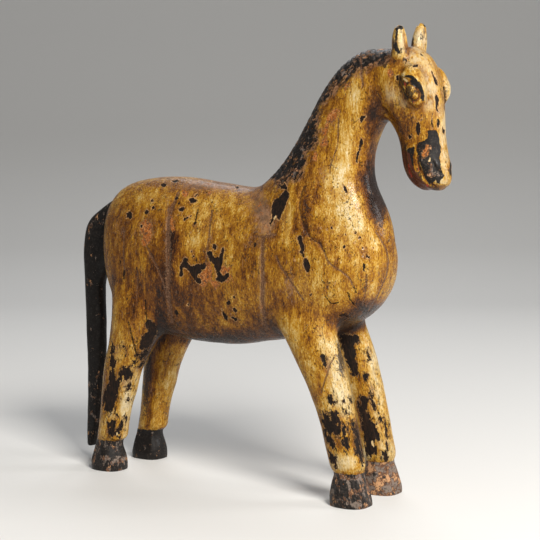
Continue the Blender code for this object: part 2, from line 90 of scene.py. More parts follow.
# Outlines of marks, as pixels of the picture.
BARE_MARKS: dict[str, Outline] = {
    "flank_hind": (
        (185, 256.5), (187.5, 259), (187, 262), (190, 265.5), (193, 266), (196, 264.5), (200, 264),
        (204.5, 263), (205.5, 266), (204, 269.5), (201, 270.5), (201, 273), (198, 274), (197, 277),
        (200, 279), (201, 282.5), (198.5, 284), (195, 281), (193.5, 279), (191, 275), (189, 272),
        (187, 270), (184.5, 267.5), (182.5, 267), (182, 271), (183, 275), (182, 277), (179, 276.5),
        (180, 271), (179.5, 267), (182, 262.5), (183.5, 258),
    ),
    "flank_fore": (
        (206.5, 251.5), (210, 251), (212.5, 253), (213.5, 257), (217, 258), (219.5, 256), (221, 253),
        (221.2, 248), (223, 247), (224, 250), (223, 254), (222.5, 259), (221.5, 264), (220.5, 268),
        (219, 271), (221, 274), (223, 277), (226, 274), (228.5, 273), (229, 276), (226, 279.5),
        (222.5, 283), (219, 281), (216, 279.5), (217, 275.5), (215.5, 272), (215, 268), (213, 264),
        (211, 262), (208, 258), (206.5, 255),
    ),
    "belly_hole": ((231, 317), (233, 316), (237, 319.5), (236, 321), (232.5, 320)),
    "flank_hole": ((232.5, 309), (234.5, 308), (237.5, 311), (235.5, 312.8), (233, 311)),
    "belly_streak": ((221.5, 309), (224, 313), (227, 317), (227, 321), (225, 319), (222.5, 314)),
    "back_one": ((178.5, 209.5), (180, 207), (183.5, 207.5), (183.5, 210.5), (179.5, 210.8)),
    "back_two": (
        (187, 198.5), (190, 197), (195, 198), (196.5, 200.5), (194, 203), (190.5, 202.5),
        (188.5, 200.5),
    ),
    "back_three": ((194, 196), (197, 192.5), (198, 194), (195, 197)),
    "croup_one": ((160.5, 185), (163.5, 182.5), (166, 184), (165.5, 186.5), (163, 187)),
    "croup_two": ((170.5, 180), (178, 179.5), (180, 181), (174, 182)),
    "haunch": ((126, 213), (129, 210.5), (131, 212.5), (131.5, 216), (129.5, 219), (126.5, 217.5)),
    "withers": (
        (279.5, 186.5), (282.5, 184), (283.5, 181.5), (285.5, 182), (286, 186), (287.5, 189),
        (285, 189), (282.5, 189.5), (280.5, 188.5),
    ),
    "shoulder": (
        (283, 191), (287, 190.5), (289, 193), (289, 197), (287, 201), (284.5, 208), (281, 213.5),
        (280, 217), (278.5, 219.5), (276.5, 218), (275.5, 215.5), (273, 218.5), (272.5, 222),
        (270.5, 225), (270.5, 229.5), (269.5, 226), (270.5, 220), (272, 214), (272, 205), (274, 200),
        (277.5, 198), (281, 195),
    ),
    "chest_upper": (
        (296.5, 235.5), (300.5, 235.5), (302, 238), (302, 241.5), (304, 244.5), (304.5, 249.5),
        (303.5, 252), (304, 255), (303.5, 258), (302, 257), (301.5, 254), (298.5, 252.5), (299, 250),
        (301, 249.5), (300, 245), (298, 241), (297, 238),
    ),
    "chest_lower": (
        (304, 259), (306.5, 258.5), (308.5, 262), (310, 267), (309, 271), (307, 273.5), (305, 270.5),
        (303.5, 265), (303.3, 261),
    ),
    "breast": ((363, 263), (365, 264), (364.5, 268), (364.8, 272), (363.2, 272.5), (363.2, 268)),
    "throat_one": ((343, 184), (346, 188), (348, 194), (346.5, 193), (343.5, 188)),
    "throat_two": (
        (361, 138), (363, 141), (361.5, 148), (359, 155), (357.5, 163), (355.5, 165), (357, 156),
        (359, 147),
    ),
    "throat_three": ((360, 119), (362, 116.5), (366, 116), (364, 119), (361.5, 123), (360, 122)),
    "forearm": (
        (320, 355.5), (322, 354.5), (325, 357), (326.5, 360.5), (327, 365), (325, 366.5), (323.5, 362),
        (321, 359),
    ),
    "near_shin": (
        (329, 398.5), (331, 396), (332.5, 400), (336.5, 401), (336, 406), (339.5, 413), (339.5, 420),
        (338, 424), (340, 430), (338, 438), (334, 437), (332, 433), (330, 437), (332.5, 441),
        (334, 446), (331.5, 451), (328.5, 446), (327, 440), (326, 434), (323, 427), (320, 421),
        (322.5, 420), (324, 413), (324, 409), (327, 411), (328.5, 416), (330, 420), (331, 417),
        (329, 411), (330, 409), (332.5, 412), (334, 409), (331, 405), (328, 402),
    ),
    "near_shin_middle": (
        (343.5, 423), (346, 425), (346.5, 432), (344, 436), (348, 438), (350, 443), (350, 448),
        (346.5, 450.5), (343, 447), (342, 440), (342, 432),
    ),
    "near_shin_front": (
        (351, 420), (354, 416), (357, 421), (358.5, 430), (360, 440), (362, 448), (364, 455),
        (364.5, 463), (362.5, 467), (361, 460), (358, 454), (355, 450), (354.5, 443), (356.5, 437),
        (354.5, 431), (352, 425),
    ),
    "near_pastern": (
        (328, 449), (331, 452), (334, 456), (337, 460), (338, 465), (336, 468), (333, 464), (330, 458),
    ),
    # Bare wood on the far forearm, laid over its shaded upper side as painted shadow too.
    "far_forearm_chip_and_shadow": (
        (340, 335), (357, 335), (359, 341), (355, 347), (357, 352), (356, 358), (358, 364),
        (358, 374), (355, 377), (352, 376), (349, 372), (346, 360), (342, 348),
    ),
    "far_shin": (
        (359, 397), (366, 398), (368, 404), (367, 411), (370, 414), (371, 419), (374, 425),
        (376, 431), (379, 434), (378, 439), (374, 436), (373, 441), (376, 446), (379, 451),
        (376, 455), (371, 457), (366, 457), (364, 450), (363, 440), (361, 430), (360, 420), (358, 408),
    ),
    "far_knee": ((366, 351), (369, 352), (370, 357), (368.5, 360), (366.5, 356)),
    "far_knee_below": ((363.5, 372), (366, 374), (367, 380), (364.5, 379)),
    "far_shin_front": (
        (371, 391), (373.5, 393), (374, 400), (375, 408), (373, 412), (371, 405), (370.5, 398),
    ),
    "far_shin_spot": ((378, 417), (383, 416), (382, 420), (380, 422)),
    "far_shin_streak": ((385, 420), (387, 422), (388, 435), (388, 450), (386.5, 445), (386, 432)),
    "far_pastern": ((383, 452), (386, 451), (388, 456), (387, 461), (384, 459)),
    "stifle": (
        (145.5, 320), (150, 319.5), (153, 322), (156, 326), (157.5, 331), (156, 337), (152, 341),
        (150.5, 345), (149, 349), (147, 353), (145.5, 358), (144, 360), (141, 357), (141.5, 354),
        (143, 352), (140, 350), (139, 345), (140, 340), (141, 336), (144, 333.5), (147, 333),
        (148, 330), (146, 327), (145, 323),
    ),
    "stifle_below": ((136, 355), (139, 351), (140, 354), (138, 358), (136, 359)),
    "gaskin_one": (
        (131, 365), (132, 361), (134, 359.5), (136, 360.5), (135.5, 364), (133, 369), (131, 369),
    ),
    "gaskin_two": ((137.5, 366), (140, 363), (143.5, 361), (143.5, 364), (141, 367.5), (138.5, 369)),
    "gaskin_three": (
        (123, 366), (126, 367), (129, 368), (131, 372), (134, 374), (134, 377), (131, 377),
        (128.5, 379), (126, 381), (124, 380), (122.5, 377), (121, 381), (119.5, 378), (118.5, 373),
        (120, 370), (122, 371),
    ),
    "gaskin_strip": (
        (121, 342), (123, 342), (125.5, 347), (126, 351), (125, 355), (123.5, 359), (122, 356),
        (122, 350), (121, 346),
    ),
    "hock_spot": (
        (126, 386), (127, 384), (129, 383), (130.5, 386), (131, 389), (129, 391.5), (127, 390.5),
        (126, 388.5),
    ),
    "hock_back": (
        (110.5, 340), (113.5, 345), (113.5, 355), (115, 362), (115.5, 370), (117, 378), (119, 381),
        (119, 388), (118, 395), (117, 402), (114, 405), (113, 410), (110, 412), (107, 415),
        (104, 413), (103, 405), (103.5, 396), (106, 388), (107, 378), (110, 372), (110, 360),
    ),
    "hind_cannon": (
        (106.5, 422), (111, 420), (116.5, 420.5), (118, 419), (116, 424), (115.5, 429),
        (118.5, 427.5), (121, 423), (122.5, 421), (123, 424), (122, 430), (120.5, 433), (120, 438),
        (117, 439), (113, 438), (109.5, 436.5), (108.5, 432), (110, 427), (108, 425),
    ),
    "brow": (
        (432, 71), (434, 73), (435.5, 77), (438, 80), (438.5, 83), (437.5, 86), (435.5, 83),
        (434.5, 79), (433, 75),
    ),
    "face_one": (
        (435.5, 92), (437, 96), (438.5, 100), (438.5, 108), (438.5, 112), (437, 111), (436.5, 104),
        (435.5, 98),
    ),
    "face_two": ((438, 118), (439.5, 121), (439, 126), (438, 129), (437.3, 125)),
    "face_three": ((431, 119), (433, 116), (433.5, 121), (433, 128), (431.5, 130), (431, 125)),
    "cheek": ((416.5, 124), (419, 121), (420.5, 126), (420, 130), (419, 135), (417, 135), (416, 130)),
    "temple": ((395, 76), (397.5, 75.5), (398.5, 79), (397, 81), (395.5, 79)),
    "forehead": ((405, 59), (406.5, 60), (408.5, 64), (407, 63)),
    "face_edge": ((443, 127), (445, 131), (445, 134), (443.5, 132)),
}

BARE_DOTS: tuple[tuple[float, float, float], ...] = (
    (214.5, 246.5, 1.9), (193, 256.5, 1.2), (191.5, 251.5, 0.9), (228.5, 303, 1.7), (153, 208, 1.5),
    (152, 200.5, 1.5), (184.5, 219, 1.1), (190.5, 216, 1.1), (187.5, 217.5, 0.8), (194.5, 223, 1.5),
    (355, 233, 1.4), (359.5, 237.5, 1.3), (345.5, 226.5, 0.9), (345.5, 234.5, 0.9), (355, 242, 0.9),
    (363, 247.5, 0.9), (363, 255.5, 0.9), (366.5, 256.5, 0.9), (368.5, 257, 0.8), (373.5, 248, 1.2),
    (389.5, 240.5, 1.0), (344, 247, 1.2), (321, 228, 0.9), (326.5, 229.5, 1.0), (331, 228, 0.9),
    (346.5, 413, 1.3), (344.5, 400, 0.9), (352, 400, 1.0), (372, 388, 1.2), (117, 417.5, 1.3),
    (126.5, 418, 0.8), (128.5, 400, 0.8), (409.5, 137, 1.3), (421, 120, 1.2), (417, 65.5, 1.1),
    (414, 66, 0.8), (233.5, 297.5, 1.0), (146.5, 212, 1.2), (311, 295, 0.9), (294.5, 260, 0.8),
    (188, 305, 0.9), (141, 226, 1.0), (212, 178.5, 1.2), (237, 187, 1.1),
)

PRIMER_MARKS: dict[str, Outline] = {
    "flank": (
        (201, 271), (205, 269), (206, 263), (209, 262), (212, 267), (213, 271), (210, 274),
        (211, 279), (208, 281), (206, 286), (203.5, 288), (200.5, 285), (201, 282), (203, 279),
        (198, 277), (198, 274.5),
    ),
    "flank_fore": (
        (220, 267), (224, 266), (227, 268), (231, 264.5), (230.5, 269), (228, 272), (224, 275),
        (221, 273), (219.5, 270),
    ),
    "flank_tip": ((229, 273), (231.5, 274), (230.5, 278), (227, 282), (226, 280), (229, 276.5)),
    "flank_low": ((211.5, 283), (215, 282), (218, 285), (217, 289), (214, 287)),
    "back": ((181, 191), (186, 190.5), (189, 194), (185, 196.5), (182, 195)),
    "loin": ((207, 192), (210, 191), (209, 196), (207, 195)),
    "haunch": (
        (141, 222), (146, 221), (151, 224), (152, 232), (150, 240), (145, 245), (141, 243),
        (143, 236), (141, 229),
    ),
    "seam": ((171, 216), (173.5, 217), (172.5, 224), (173, 229), (170.5, 228)),
    "neck": (
        (330, 113), (335, 108), (338, 107), (339, 112), (336, 116), (331, 122), (328, 128),
        (326, 134), (325, 140), (327, 144), (323, 146), (320, 144.5), (323, 138), (322, 130),
        (324, 124), (326, 118),
    ),
    "crest": ((345, 83), (350, 82), (349, 87), (344, 89)),
    "neck_low": ((313, 160), (316, 152), (317, 155), (315, 161)),
    "temple": ((386, 69), (394, 70), (395, 75), (389, 76)),
    "nose_worn": (
        (426.5, 145.5), (428.5, 146), (428.5, 150), (427, 155), (424, 156.5), (422, 154.5),
        (422.5, 151.5), (425.5, 150),
    ),
}

BLACK_MARKS: dict[str, Outline] = {
    "nose": (
        (430, 130), (436, 130), (438.5, 133), (440, 140), (441, 147), (441, 152), (440, 157),
        (440.5, 163), (441.5, 168), (442, 172), (443.5, 175), (445, 175.5), (443, 178), (440.5, 180),
        (439.5, 184), (437, 183), (436, 179), (434, 181.5), (432, 184), (430, 185), (427, 181),
        (424, 175), (421, 168), (419, 160), (417.5, 156), (416.5, 150), (417, 144), (420, 142),
        (424, 140.5), (427, 139), (428.5, 135), (427, 131),
    ),
    "lid": (
        (399, 74.5), (403, 76), (407, 75), (411, 75), (416, 78), (420, 82), (423, 88), (424, 93),
        (425, 97), (424.5, 101), (422.5, 101.5), (421, 98), (421, 94), (419, 90), (416, 87),
        (412, 85), (409, 81.5), (411, 79), (407, 77.5), (402, 77),
    ),
    "under_lid": ((403, 86), (405, 93), (409, 98), (408, 99.5), (404, 95), (402.3, 88)),
    "ear_edge": (
        (395, 28), (397, 25), (398, 28), (397.5, 34), (396.5, 41), (397.5, 46), (399, 50), (401, 54),
        (398, 53), (394, 49), (393, 45), (395, 42), (395, 35),
    ),
    "ear_tip": ((398, 27.5), (400, 24), (403.5, 25.5), (404, 28.5), (401, 29.5)),
}

BLACK_BEYOND: dict[str, Outline] = {
    "far_ear_tip": ((421, 20.5), (424.5, 21), (426.5, 24), (428, 27), (425, 27), (423.5, 25)),
    "far_ear_back": ((417, 25), (419.5, 22.5), (418.3, 25.5)),
    "far_nostril": ((450, 160), (452, 165), (453, 170), (452, 175), (450.5, 174), (450, 168)),
}

CREAM_MARKS: dict[str, Outline] = {
    "lid_strip": ((402, 78), (405, 78), (408, 81), (408.5, 83), (406, 82), (403, 80)),
    "nose_chip": ((430, 156), (431, 158), (430.5, 162), (427.5, 161.5), (429, 159)),
    "cannon_chip": ((116, 432), (117.5, 431.5), (118, 435), (116.7, 436.5)),
    "shin_chip": ((371, 441), (372.5, 440.5), (374, 445), (373.5, 448), (371.5, 445)),
    "shoulder_chip": ((273, 218), (275.5, 215), (276, 216.5), (274, 219.5)),
}

RED_MARKS: dict[str, Outline] = {
    "eye_corner": ((403, 81.5), (406.3, 83), (405.6, 86), (404.3, 87.5), (403.6, 84)),
    "eye_below": ((412, 101), (414, 101), (415.5, 104), (413.5, 103.5)),
    "lip_one": ((408, 164), (409, 164), (410.5, 172), (413, 179), (411.5, 178.5), (408.7, 172)),
    "lip_two": ((425.5, 184), (428, 184), (428.5, 186.8), (426, 186)),
    "lip_three": ((417.2, 166), (418.3, 166.5), (420, 171.5), (418.8, 172)),
}

MANE: Outline = (
    (396, 40), (391, 55), (386, 62), (377, 66), (372, 66), (365, 72), (358, 74), (352, 79),
    (345, 84), (338, 90), (331, 97), (325, 104), (320, 107), (321, 115), (320, 128), (320, 140),
    (316, 148), (309, 153), (308, 165), (303, 173), (299, 183), (295, 184), (290, 183), (286, 189),
    (279, 188), (272, 182), (262, 178), (285, 145), (300, 105), (325, 65), (350, 42), (375, 32),
)
LOWER_LIP: Outline = (
    (403, 150), (409, 153), (412.5, 166), (418, 176), (426, 184), (433, 188), (428, 196), (412, 194),
    (402, 182), (397, 168), (398, 155),
)

# Glue lines and cracks: half width in pixels, then the corners.
SEAMS: tuple[tuple[float, Outline], ...] = (
    (1.6, (
        (178, 193), (173, 205), (169, 216), (168, 230), (168, 245), (168, 262), (168, 280), (169, 300),
        (172, 322),
    )),
    (1.0, ((146, 245), (152, 258), (158, 270), (164, 285), (168, 300))),
    (0.7, ((212, 210), (210, 225), (208, 240), (206, 252), (206, 262), (207, 280))),
    (1.6, ((262.5, 237), (262, 255), (262.5, 275), (262, 300), (266, 330))),
    (0.8, ((255, 236), (262, 237), (270, 235.5), (276, 234.5))),
    (0.9, ((320, 243), (324, 252), (328, 262), (334, 267), (341, 271), (350, 279), (354, 288))),
    (1.0, ((276, 256), (280, 266), (286, 275), (294, 287), (303, 300))),
    (0.7, ((376, 232), (382, 241), (387, 250), (389, 262), (387, 275), (382, 287), (376, 300), (369, 311))),
    (0.7, ((367, 275), (366, 290), (363, 305))),
    (0.8, ((360, 52), (361, 62), (361, 74), (363, 86))),
    (0.7, ((338, 118), (338, 135), (337, 147), (333, 158), (330, 165), (330, 174))),
    (0.7, ((336, 354), (330, 365), (325, 380), (321, 393))),
    (0.5, ((137.5, 272), (137, 288), (137, 305))),
    (0.7, ((124, 228), (123, 250), (124, 272))),
)
CRACKS: tuple[tuple[float, Outline], ...] = (
    (0.5, ((354, 288), (356, 293))),
    (0.6, ((348, 293), (350, 300), (354, 305))),
    (0.5, ((325, 297), (330, 303), (333, 304), (338, 303))),
    (0.6, ((128, 322), (131, 335), (134, 346), (137, 356))),
    (0.5, ((197.5, 209), (196, 216), (195, 221))),
    (0.5, ((145, 300), (146, 315), (148, 328))),
    (0.5, ((340, 316), (344, 315), (347, 317))),
    (0.5, ((444, 87), (445.5, 97), (445, 110))),
)

# Broad lighter and darker places, the paint's own tone with painted highlights where the light falls
# and painted shade in the throat, under the body and between the legs: pixel, half width, half height, how
# much lighter or darker.
TONES_AND_PAINTED_LIGHT: tuple[tuple[float, float, float, float, float], ...] = (
    (336, 205, 15, 32, 0.75), (352, 215, 11, 28, 0.9), (342, 176, 12, 16, 0.45), (372, 243, 9, 8, 0.8),
    (357, 265, 7, 7, 0.55), (364, 225, 8, 14, 0.6), (345, 250, 10, 7, 0.1), (333, 245, 9, 10, -0.2),
    (362, 312, 26, 10, -0.75), (340, 318, 14, 6, -0.3), (306, 212, 5, 24, -0.85), (296, 212, 4, 24, -0.5),
    (315, 196, 5, 9, -0.35), (286, 222, 8, 18, 0.65), (292, 203, 5, 12, 0.45), (300, 270, 16, 22, 0.1),
    (325, 285, 16, 18, 0.12), (350, 290, 8, 14, 0.2), (312, 312, 22, 22, 0.15), (330, 345, 18, 20, 0.32),
    (338, 375, 12, 26, 0.66), (346, 402, 12, 18, 0.75), (344, 462, 14, 8, 0.95), (318, 378, 5, 34, -0.35),
    (322, 425, 4, 40, -0.1), (372, 350, 11, 22, 0.48), (378, 400, 9, 40, 0.5), (388, 450, 9, 14, 0.7),
    (374, 385, 5, 24, 0.2), (355, 95, 8, 14, 0.75), (347, 150, 12, 34, 0.6), (338, 120, 6, 18, 0.2),
    (330, 175, 8, 16, 0.1), (334, 150, 5, 20, -0.1), (372, 110, 8, 12, -0.95), (370, 150, 7, 30, -0.7),
    (364, 185, 6, 22, -0.35), (381, 198, 8, 26, -1.25), (374, 185, 6, 20, -0.9), (386, 84, 12, 16, 0.15),
    (378, 96, 8, 10, -0.1), (430, 88, 10, 34, 0.6), (413, 60, 12, 10, 0.6), (408, 118, 9, 22, -0.25),
    (396, 112, 9, 20, -0.1), (401, 140, 5, 26, -0.6), (445, 140, 5, 42, 0.8), (438, 180, 9, 6, 0.5),
    (450, 90, 5, 16, 0.85), (445, 100, 3, 14, -0.3), (401, 40, 5, 12, 0.7), (420, 38, 8, 12, 0.75),
    (200, 225, 16, 22, 0.4), (190, 245, 12, 10, 0.35), (152, 200, 14, 14, 0.25), (140, 197, 8, 8, 0.4),
    (195, 300, 30, 22, -0.55), (182, 320, 16, 14, -0.3), (232, 262, 14, 20, -0.12),
    (238, 300, 18, 20, 0.08), (218, 334, 55, 7, -0.55), (256, 318, 12, 16, -0.35),
    (172, 245, 4, 40, -0.9), (160, 300, 9, 30, -0.75),
    (120, 262, 14, 42, -0.3), (140, 285, 10, 22, -0.35), (132, 318, 18, 18, -0.1), (252, 268, 8, 30, -0.45),
    (117, 352, 5, 20, 0.35), (128, 352, 7, 14, 0.1), (126, 400, 6, 26, 1.0), (136, 375, 6, 12, 0.6),
    (100, 432, 5, 12, -0.05), (124, 436, 4, 10, 0.3), (112, 414, 5, 6, 0.85), (155, 395, 5, 34, 0.15),
    (163, 395, 4, 36, -0.25), (148, 395, 5, 36, -0.8), (158, 345, 14, 20, -0.4), (275, 225, 6, 14, -0.3),
    (225, 222, 14, 14, 0.2), (110, 225, 8, 22, -0.35), (205, 184, 60, 6, -0.7),
    (132, 230, 14, 26, -0.2), (374, 190, 6, 26, -0.5), (166, 258, 9, 30, -0.8), (180, 252, 7, 14, -0.3),
    (152, 258, 8, 22, -0.4), (180, 296, 8, 16, -0.4), (228, 262, 16, 30, 0.38), (306, 275, 9, 28, 0.38),
    (300, 232, 9, 10, 0.25), (270, 268, 8, 30, -0.4), (327, 249, 9, 9, -0.3), (320, 330, 6, 34, 0.35),
    (348, 325, 7, 26, 0.25), (205, 204, 26, 12, 0.22), (166, 193, 16, 9, 0.3), (264, 214, 6, 16, -0.3),
    (132, 315, 12, 14, -0.4), (158, 336, 10, 12, -0.8), (151, 364, 5, 22, -1.2), (374, 200, 8, 26, -0.9),
    (364, 178, 6, 16, -0.9), (373, 132, 5, 14, -0.6), (404, 106, 8, 16, 0.6), (390, 95, 9, 14, 0.4),
    (334, 95, 8, 12, -0.4), (354, 176, 6, 18, -0.3), (350, 382, 5, 20, -0.4), (360, 418, 4, 34, -0.9),
    (210, 341, 50, 5, -0.6), (364, 305, 12, 10, -0.5),
)
# Places under grey-brown scuffs, with a band of painted sheen along the top of the back: pixel, half width,
# half height, how much.
SCUFFS_AND_SHEEN: tuple[tuple[float, float, float, float, float], ...] = (
    (168, 250, 3.5, 60, 0.8), (262, 285, 4, 46, 0.85), (262, 212, 9, 22, 0.7), (250, 205, 12, 14, 0.4),
    (146, 228, 11, 16, 0.55), (290, 288, 8, 18, 0.55), (250, 240, 10, 14, 0.35), (205, 186, 40, 7, 0.5),
    (342, 192, 12, 20, 0.3), (270, 225, 6, 14, 0.6), (334, 264, 9, 7, 0.4), (368, 290, 4, 18, 0.5),
    (131, 330, 6, 14, 0.2), (361, 72, 3, 14, 0.7), (330, 370, 6, 16, 0.3), (118, 222, 10, 30, 0.35),
    (415, 115, 7, 12, 0.35), (322, 175, 5, 14, 0.45), (210, 235, 4, 24, 0.4), (342, 335, 10, 6, 0.3),
)
# Dark brown stains, and painted shade under the throat, chest and belly and between the legs: pixel, half
# width, half height, how much.
STAINS_AND_SHADE: tuple[tuple[float, float, float, float, float], ...] = (
    (411, 92, 8, 11, 0.8), (400, 82, 6, 8, 0.6), (396, 112, 9, 14, 0.15),
    (403, 125, 6, 20, 0.25), (414, 122, 6, 8, 0.45), (404, 152, 5, 14, 0.8),
    (413, 180, 10, 8, 1.2), (428, 189, 12, 4, 1.2), (426, 36, 3, 10, 0.5), (447, 150, 4, 16, 0.3),
    (437, 176, 5, 5, 0.6), (395, 42, 3, 12, 0.8), (402, 50, 4, 5, 0.5), (411, 42, 3, 7, 1.2),
    (421, 36, 2, 8, 0.6), (386, 64, 10, 6, 0.5), (376, 98, 8, 16, 0.5), (419, 160, 3, 14, 0.7),
    (451, 172, 3, 6, 0.9), (405, 60, 6, 5, 0.5), (412, 66, 5, 4, 0.5), (378, 60, 12, 6, 0.6),
    (380, 205, 7, 24, 1.1), (350, 62, 14, 12, 0.4), (318, 110, 8, 20, 0.5), (305, 150, 8, 20, 0.5),
    (306, 212, 4, 26, 0.6), (352, 325, 12, 8, 0.9), (342, 350, 5, 30, 1.1), (349, 420, 3, 40, 0.5),
    (215, 341, 60, 4, 0.7), (150, 345, 6, 20, 0.6), (146, 390, 4, 40, 0.8), (112, 380, 3, 40, 0.5),
    (368, 350, 8, 12, 0.3), (270, 232, 8, 6, 0.3), (175, 325, 12, 8, 0.6), (446, 98, 2, 14, 0.5),
)
# The carved fold between the shoulder and the chest.
SHOULDER_LINE: tuple[tuple[float, Outline], ...] = (
    (0.8, (
        (304, 186), (300, 198), (299.5, 212), (303, 224), (307, 233), (313, 240), (320, 243), (324, 252),
    )),
)
# Chips that the hidden left side repeats, by how far they move there in pixels.
LEFT_SIDE: dict[Pixel, tuple[str, ...]] = {
    (-22.0, 14.0): ("flank_fore", "back_two", "shoulder"),
    (-6.0, -18.0): ("near_shin", "stifle", "hock_back", "hind_cannon"),
    (9.0, 11.0): ("throat_two", "gaskin_three", "near_shin_front"),
}


def level(value: Array, low: float, high: float) -> Array:
    """Eases from 0 at low to 1 at high.

    Args:
        value: The numbers to grade.
        low: Where the result leaves 0.
        high: Where the result reaches 1.

    Returns:
        The eased shares.
    """
    share = np.clip((value - low) / (high - low), 0, 1)
    return share * share * (3 - 2 * share)


def bell(distance: Array, width: float) -> Array:
    """A smooth bump over a distance.

    Args:
        distance: How far each place is from the middle.
        width: Where the bump has fallen to about a third.

    Returns:
        1 in the middle, falling off to 0.
    """
    return np.exp(-((distance / width) ** 2))


def distance_to_path(places: Array, path: Array) -> Array:
    """How far places are from a line of straight pieces.

    Args:
        places: The places, in two or three dimensions.
        path: The line's corners, in the same dimensions.

    Returns:
        The distance of each place from the nearest piece.
    """
    path = np.asarray(path, float)
    nearest = np.full(len(places), np.inf)
    for start, end in zip(path, path[1:]):
        run = end - start
        along = np.clip((places - start) @ run / (run @ run), 0, 1)
        gap = np.linalg.norm(places - start - along[:, None] * run, axis=1)
        nearest = np.minimum(nearest, gap)
    return nearest


def inside_distance(places: Array, outline: Outline) -> Array:
    """How deep places lie inside an outline.

    Args:
        places: The places, in the plane of the outline.
        outline: The corners, in order.

    Returns:
        The distance from the outline, above 0 inside it and never below -REACH.
    """
    corners = np.asarray(outline, float)
    depth = np.full(len(places), -REACH)
    low, high = corners.min(0) - REACH, corners.max(0) + REACH
    near = np.flatnonzero(np.all((places > low) & (places < high), axis=1))
    if not len(near):
        return depth
    spots = places[near]
    closed = np.vstack([corners, corners[:1]])
    gap = distance_to_path(spots, closed)
    inside = np.zeros(len(spots), bool)
    for (x0, y0), (x1, y1) in zip(closed, closed[1:]):
        spans = (y0 > spots[:, 1]) != (y1 > spots[:, 1])
        if y0 == y1:
            continue
        inside ^= spans & (spots[:, 0] < (x1 - x0) * (spots[:, 1] - y0) / (y1 - y0) + x0)
    depth[near] = np.maximum(np.where(inside, gap, -gap), -REACH)
    return depth


@dataclass(frozen=True)
class PictureView:
    """Where the picture was taken from, and what its pixels look at.

    The focal length and the size are in pixels of the picture.
    """

    azimuth: float = 33.3
    elevation: float = 5.1
    distance: float = 1.5
    target: Point = (0.0201, 0.0, 0.2146)
    focal: float = 1515.0
    size: float = 540.0

    def axes(self) -> tuple[Array, Array, Array]:
        """The directions that point backwards, to the right and upwards as the camera stands."""
        turn, rise = math.radians(self.azimuth), math.radians(self.elevation)
        back = np.array([math.sin(turn) * math.cos(rise), -math.cos(turn) * math.cos(rise), math.sin(rise)])
        right = np.array([math.cos(turn), math.sin(turn), 0.0])
        return back, right, np.cross(back, right)

    def eye(self) -> Array:
        """The place of the lens."""
        return np.array(self.target) + self.axes()[0] * self.distance

    def pixels(self, points: Array) -> Array:
        """Where points show in the picture.

        Args:
            points: Places in metres.

        Returns:
            Their pixels.
        """
        back, right, up = self.axes()
        away = points - self.eye()
        depth = -away @ back
        across = self.size / 2 + self.focal * (away @ right) / depth
        down = self.size / 2 - self.focal * (away @ up) / depth
        return np.column_stack([across, down])

    def spots(self, tree: BVHTree, pixels: Outline) -> Array:
        """Where pixels lie on a surface.

        Args:
            tree: The surface.
            pixels: Places in the picture, each of which shows the surface.

        Returns:
            Their places in metres.
        """
        back, right, up = self.axes()
        found = []
        for across, down in pixels:
            ray = -back * self.focal + right * (across - self.size / 2) - up * (down - self.size / 2)
            hit = tree.ray_cast(Vector(self.eye()), Vector(ray).normalized())[0]
            if hit is None:
                raise ValueError(f"the picture doesn't show the wood at pixel {across}, {down}")
            found.append(hit)
        return np.array(found)

    def place_camera(self) -> Object:
        """Sets the scene's camera where the picture was taken.

        Returns:
            The camera.
        """
        lens = bpy.data.cameras.new("picture_camera")
        lens.sensor_width = 36.0
        lens.lens = lens.sensor_width * self.focal / self.size
        camera = bpy.data.objects.new("picture_camera", lens)
        bpy.context.scene.collection.objects.link(camera)
        camera.location = self.eye()
        camera.rotation_mode = "QUATERNION"
        camera.rotation_quaternion = Vector(self.axes()[0]).to_track_quat("Z", "Y")
        bpy.context.scene.camera = camera
        return camera


VIEW = PictureView()


class Skin:
    """A closed mesh as arrays of points, normals and edges."""

    def __init__(self, mesh: Mesh) -> None:
        """Reads the mesh.

        Args:
            mesh: The mesh to work on.
        """
        self.mesh = mesh
        ends = np.empty(len(mesh.edges) * 2, int)
        mesh.edges.foreach_get("vertices", ends)
        self.one, self.two = ends.reshape(-1, 2).T
        self.count = np.bincount(ends, minlength=len(mesh.vertices))
        self.read()

    def read(self) -> None:
        """Takes the points and normals from the mesh."""
        size = len(self.mesh.vertices) * 3
        points, normals = np.empty(size), np.empty(size)
        self.mesh.vertices.foreach_get("co", points)
        self.mesh.vertices.foreach_get("normal", normals)
        self.points, self.normals = points.reshape(-1, 3), normals.reshape(-1, 3)

    def write(self) -> None:
        """Puts the points into the mesh, and takes its new normals."""
        self.mesh.vertices.foreach_set("co", self.points.ravel())
        self.mesh.update()
        self.read()

    def spread(self, values: Array, rounds: int, strength: float | Array = 0.5) -> Array:
        """Evens values out between neighbouring points.

        Args:
            values: One row for each point.
            rounds: How many times each point's value moves towards its neighbours' mean.
            strength: How far it moves each time, from 0 to 1.

        Returns:
            The new values.
        """
        made = np.array(values, float).reshape(len(self.count), -1)
        share = np.broadcast_to(np.asarray(strength, float).reshape(-1, 1), (len(made), 1))
        for _ in range(rounds):
            total = np.empty_like(made)
            for k in range(made.shape[1]):
                total[:, k] = np.bincount(self.one, made[self.two, k], len(made))
                total[:, k] += np.bincount(self.two, made[self.one, k], len(made))
            made += share * (total / self.count[:, None] - made)
        return made.reshape(np.shape(values))

    def push(self, relief: Array) -> None:
        """Moves each point along its normal.

        Args:
            relief: How far out each point goes, in metres.
        """
        self.points += self.normals * relief[:, None]
        self.write()

    def store(self, layer: Layer, values: Array) -> None:
        """Keeps numbers on the mesh for its materials.

        Args:
            layer: What they say.
            values: One number or vector for each point.
        """
        kind, key = ("FLOAT", "value") if values.ndim == 1 else ("FLOAT_VECTOR", "vector")
        kept = self.mesh.attributes.new(layer.value, kind, "POINT")
        kept.data.foreach_set(key, values.astype(np.float32).ravel())

    def tree(self) -> BVHTree:
        """The mesh as a tree to cast rays at."""
        self.mesh.calc_loop_triangles()
        corners = [tuple(t.vertices) for t in self.mesh.loop_triangles]
        return BVHTree.FromPolygons([tuple(p) for p in self.points], corners)


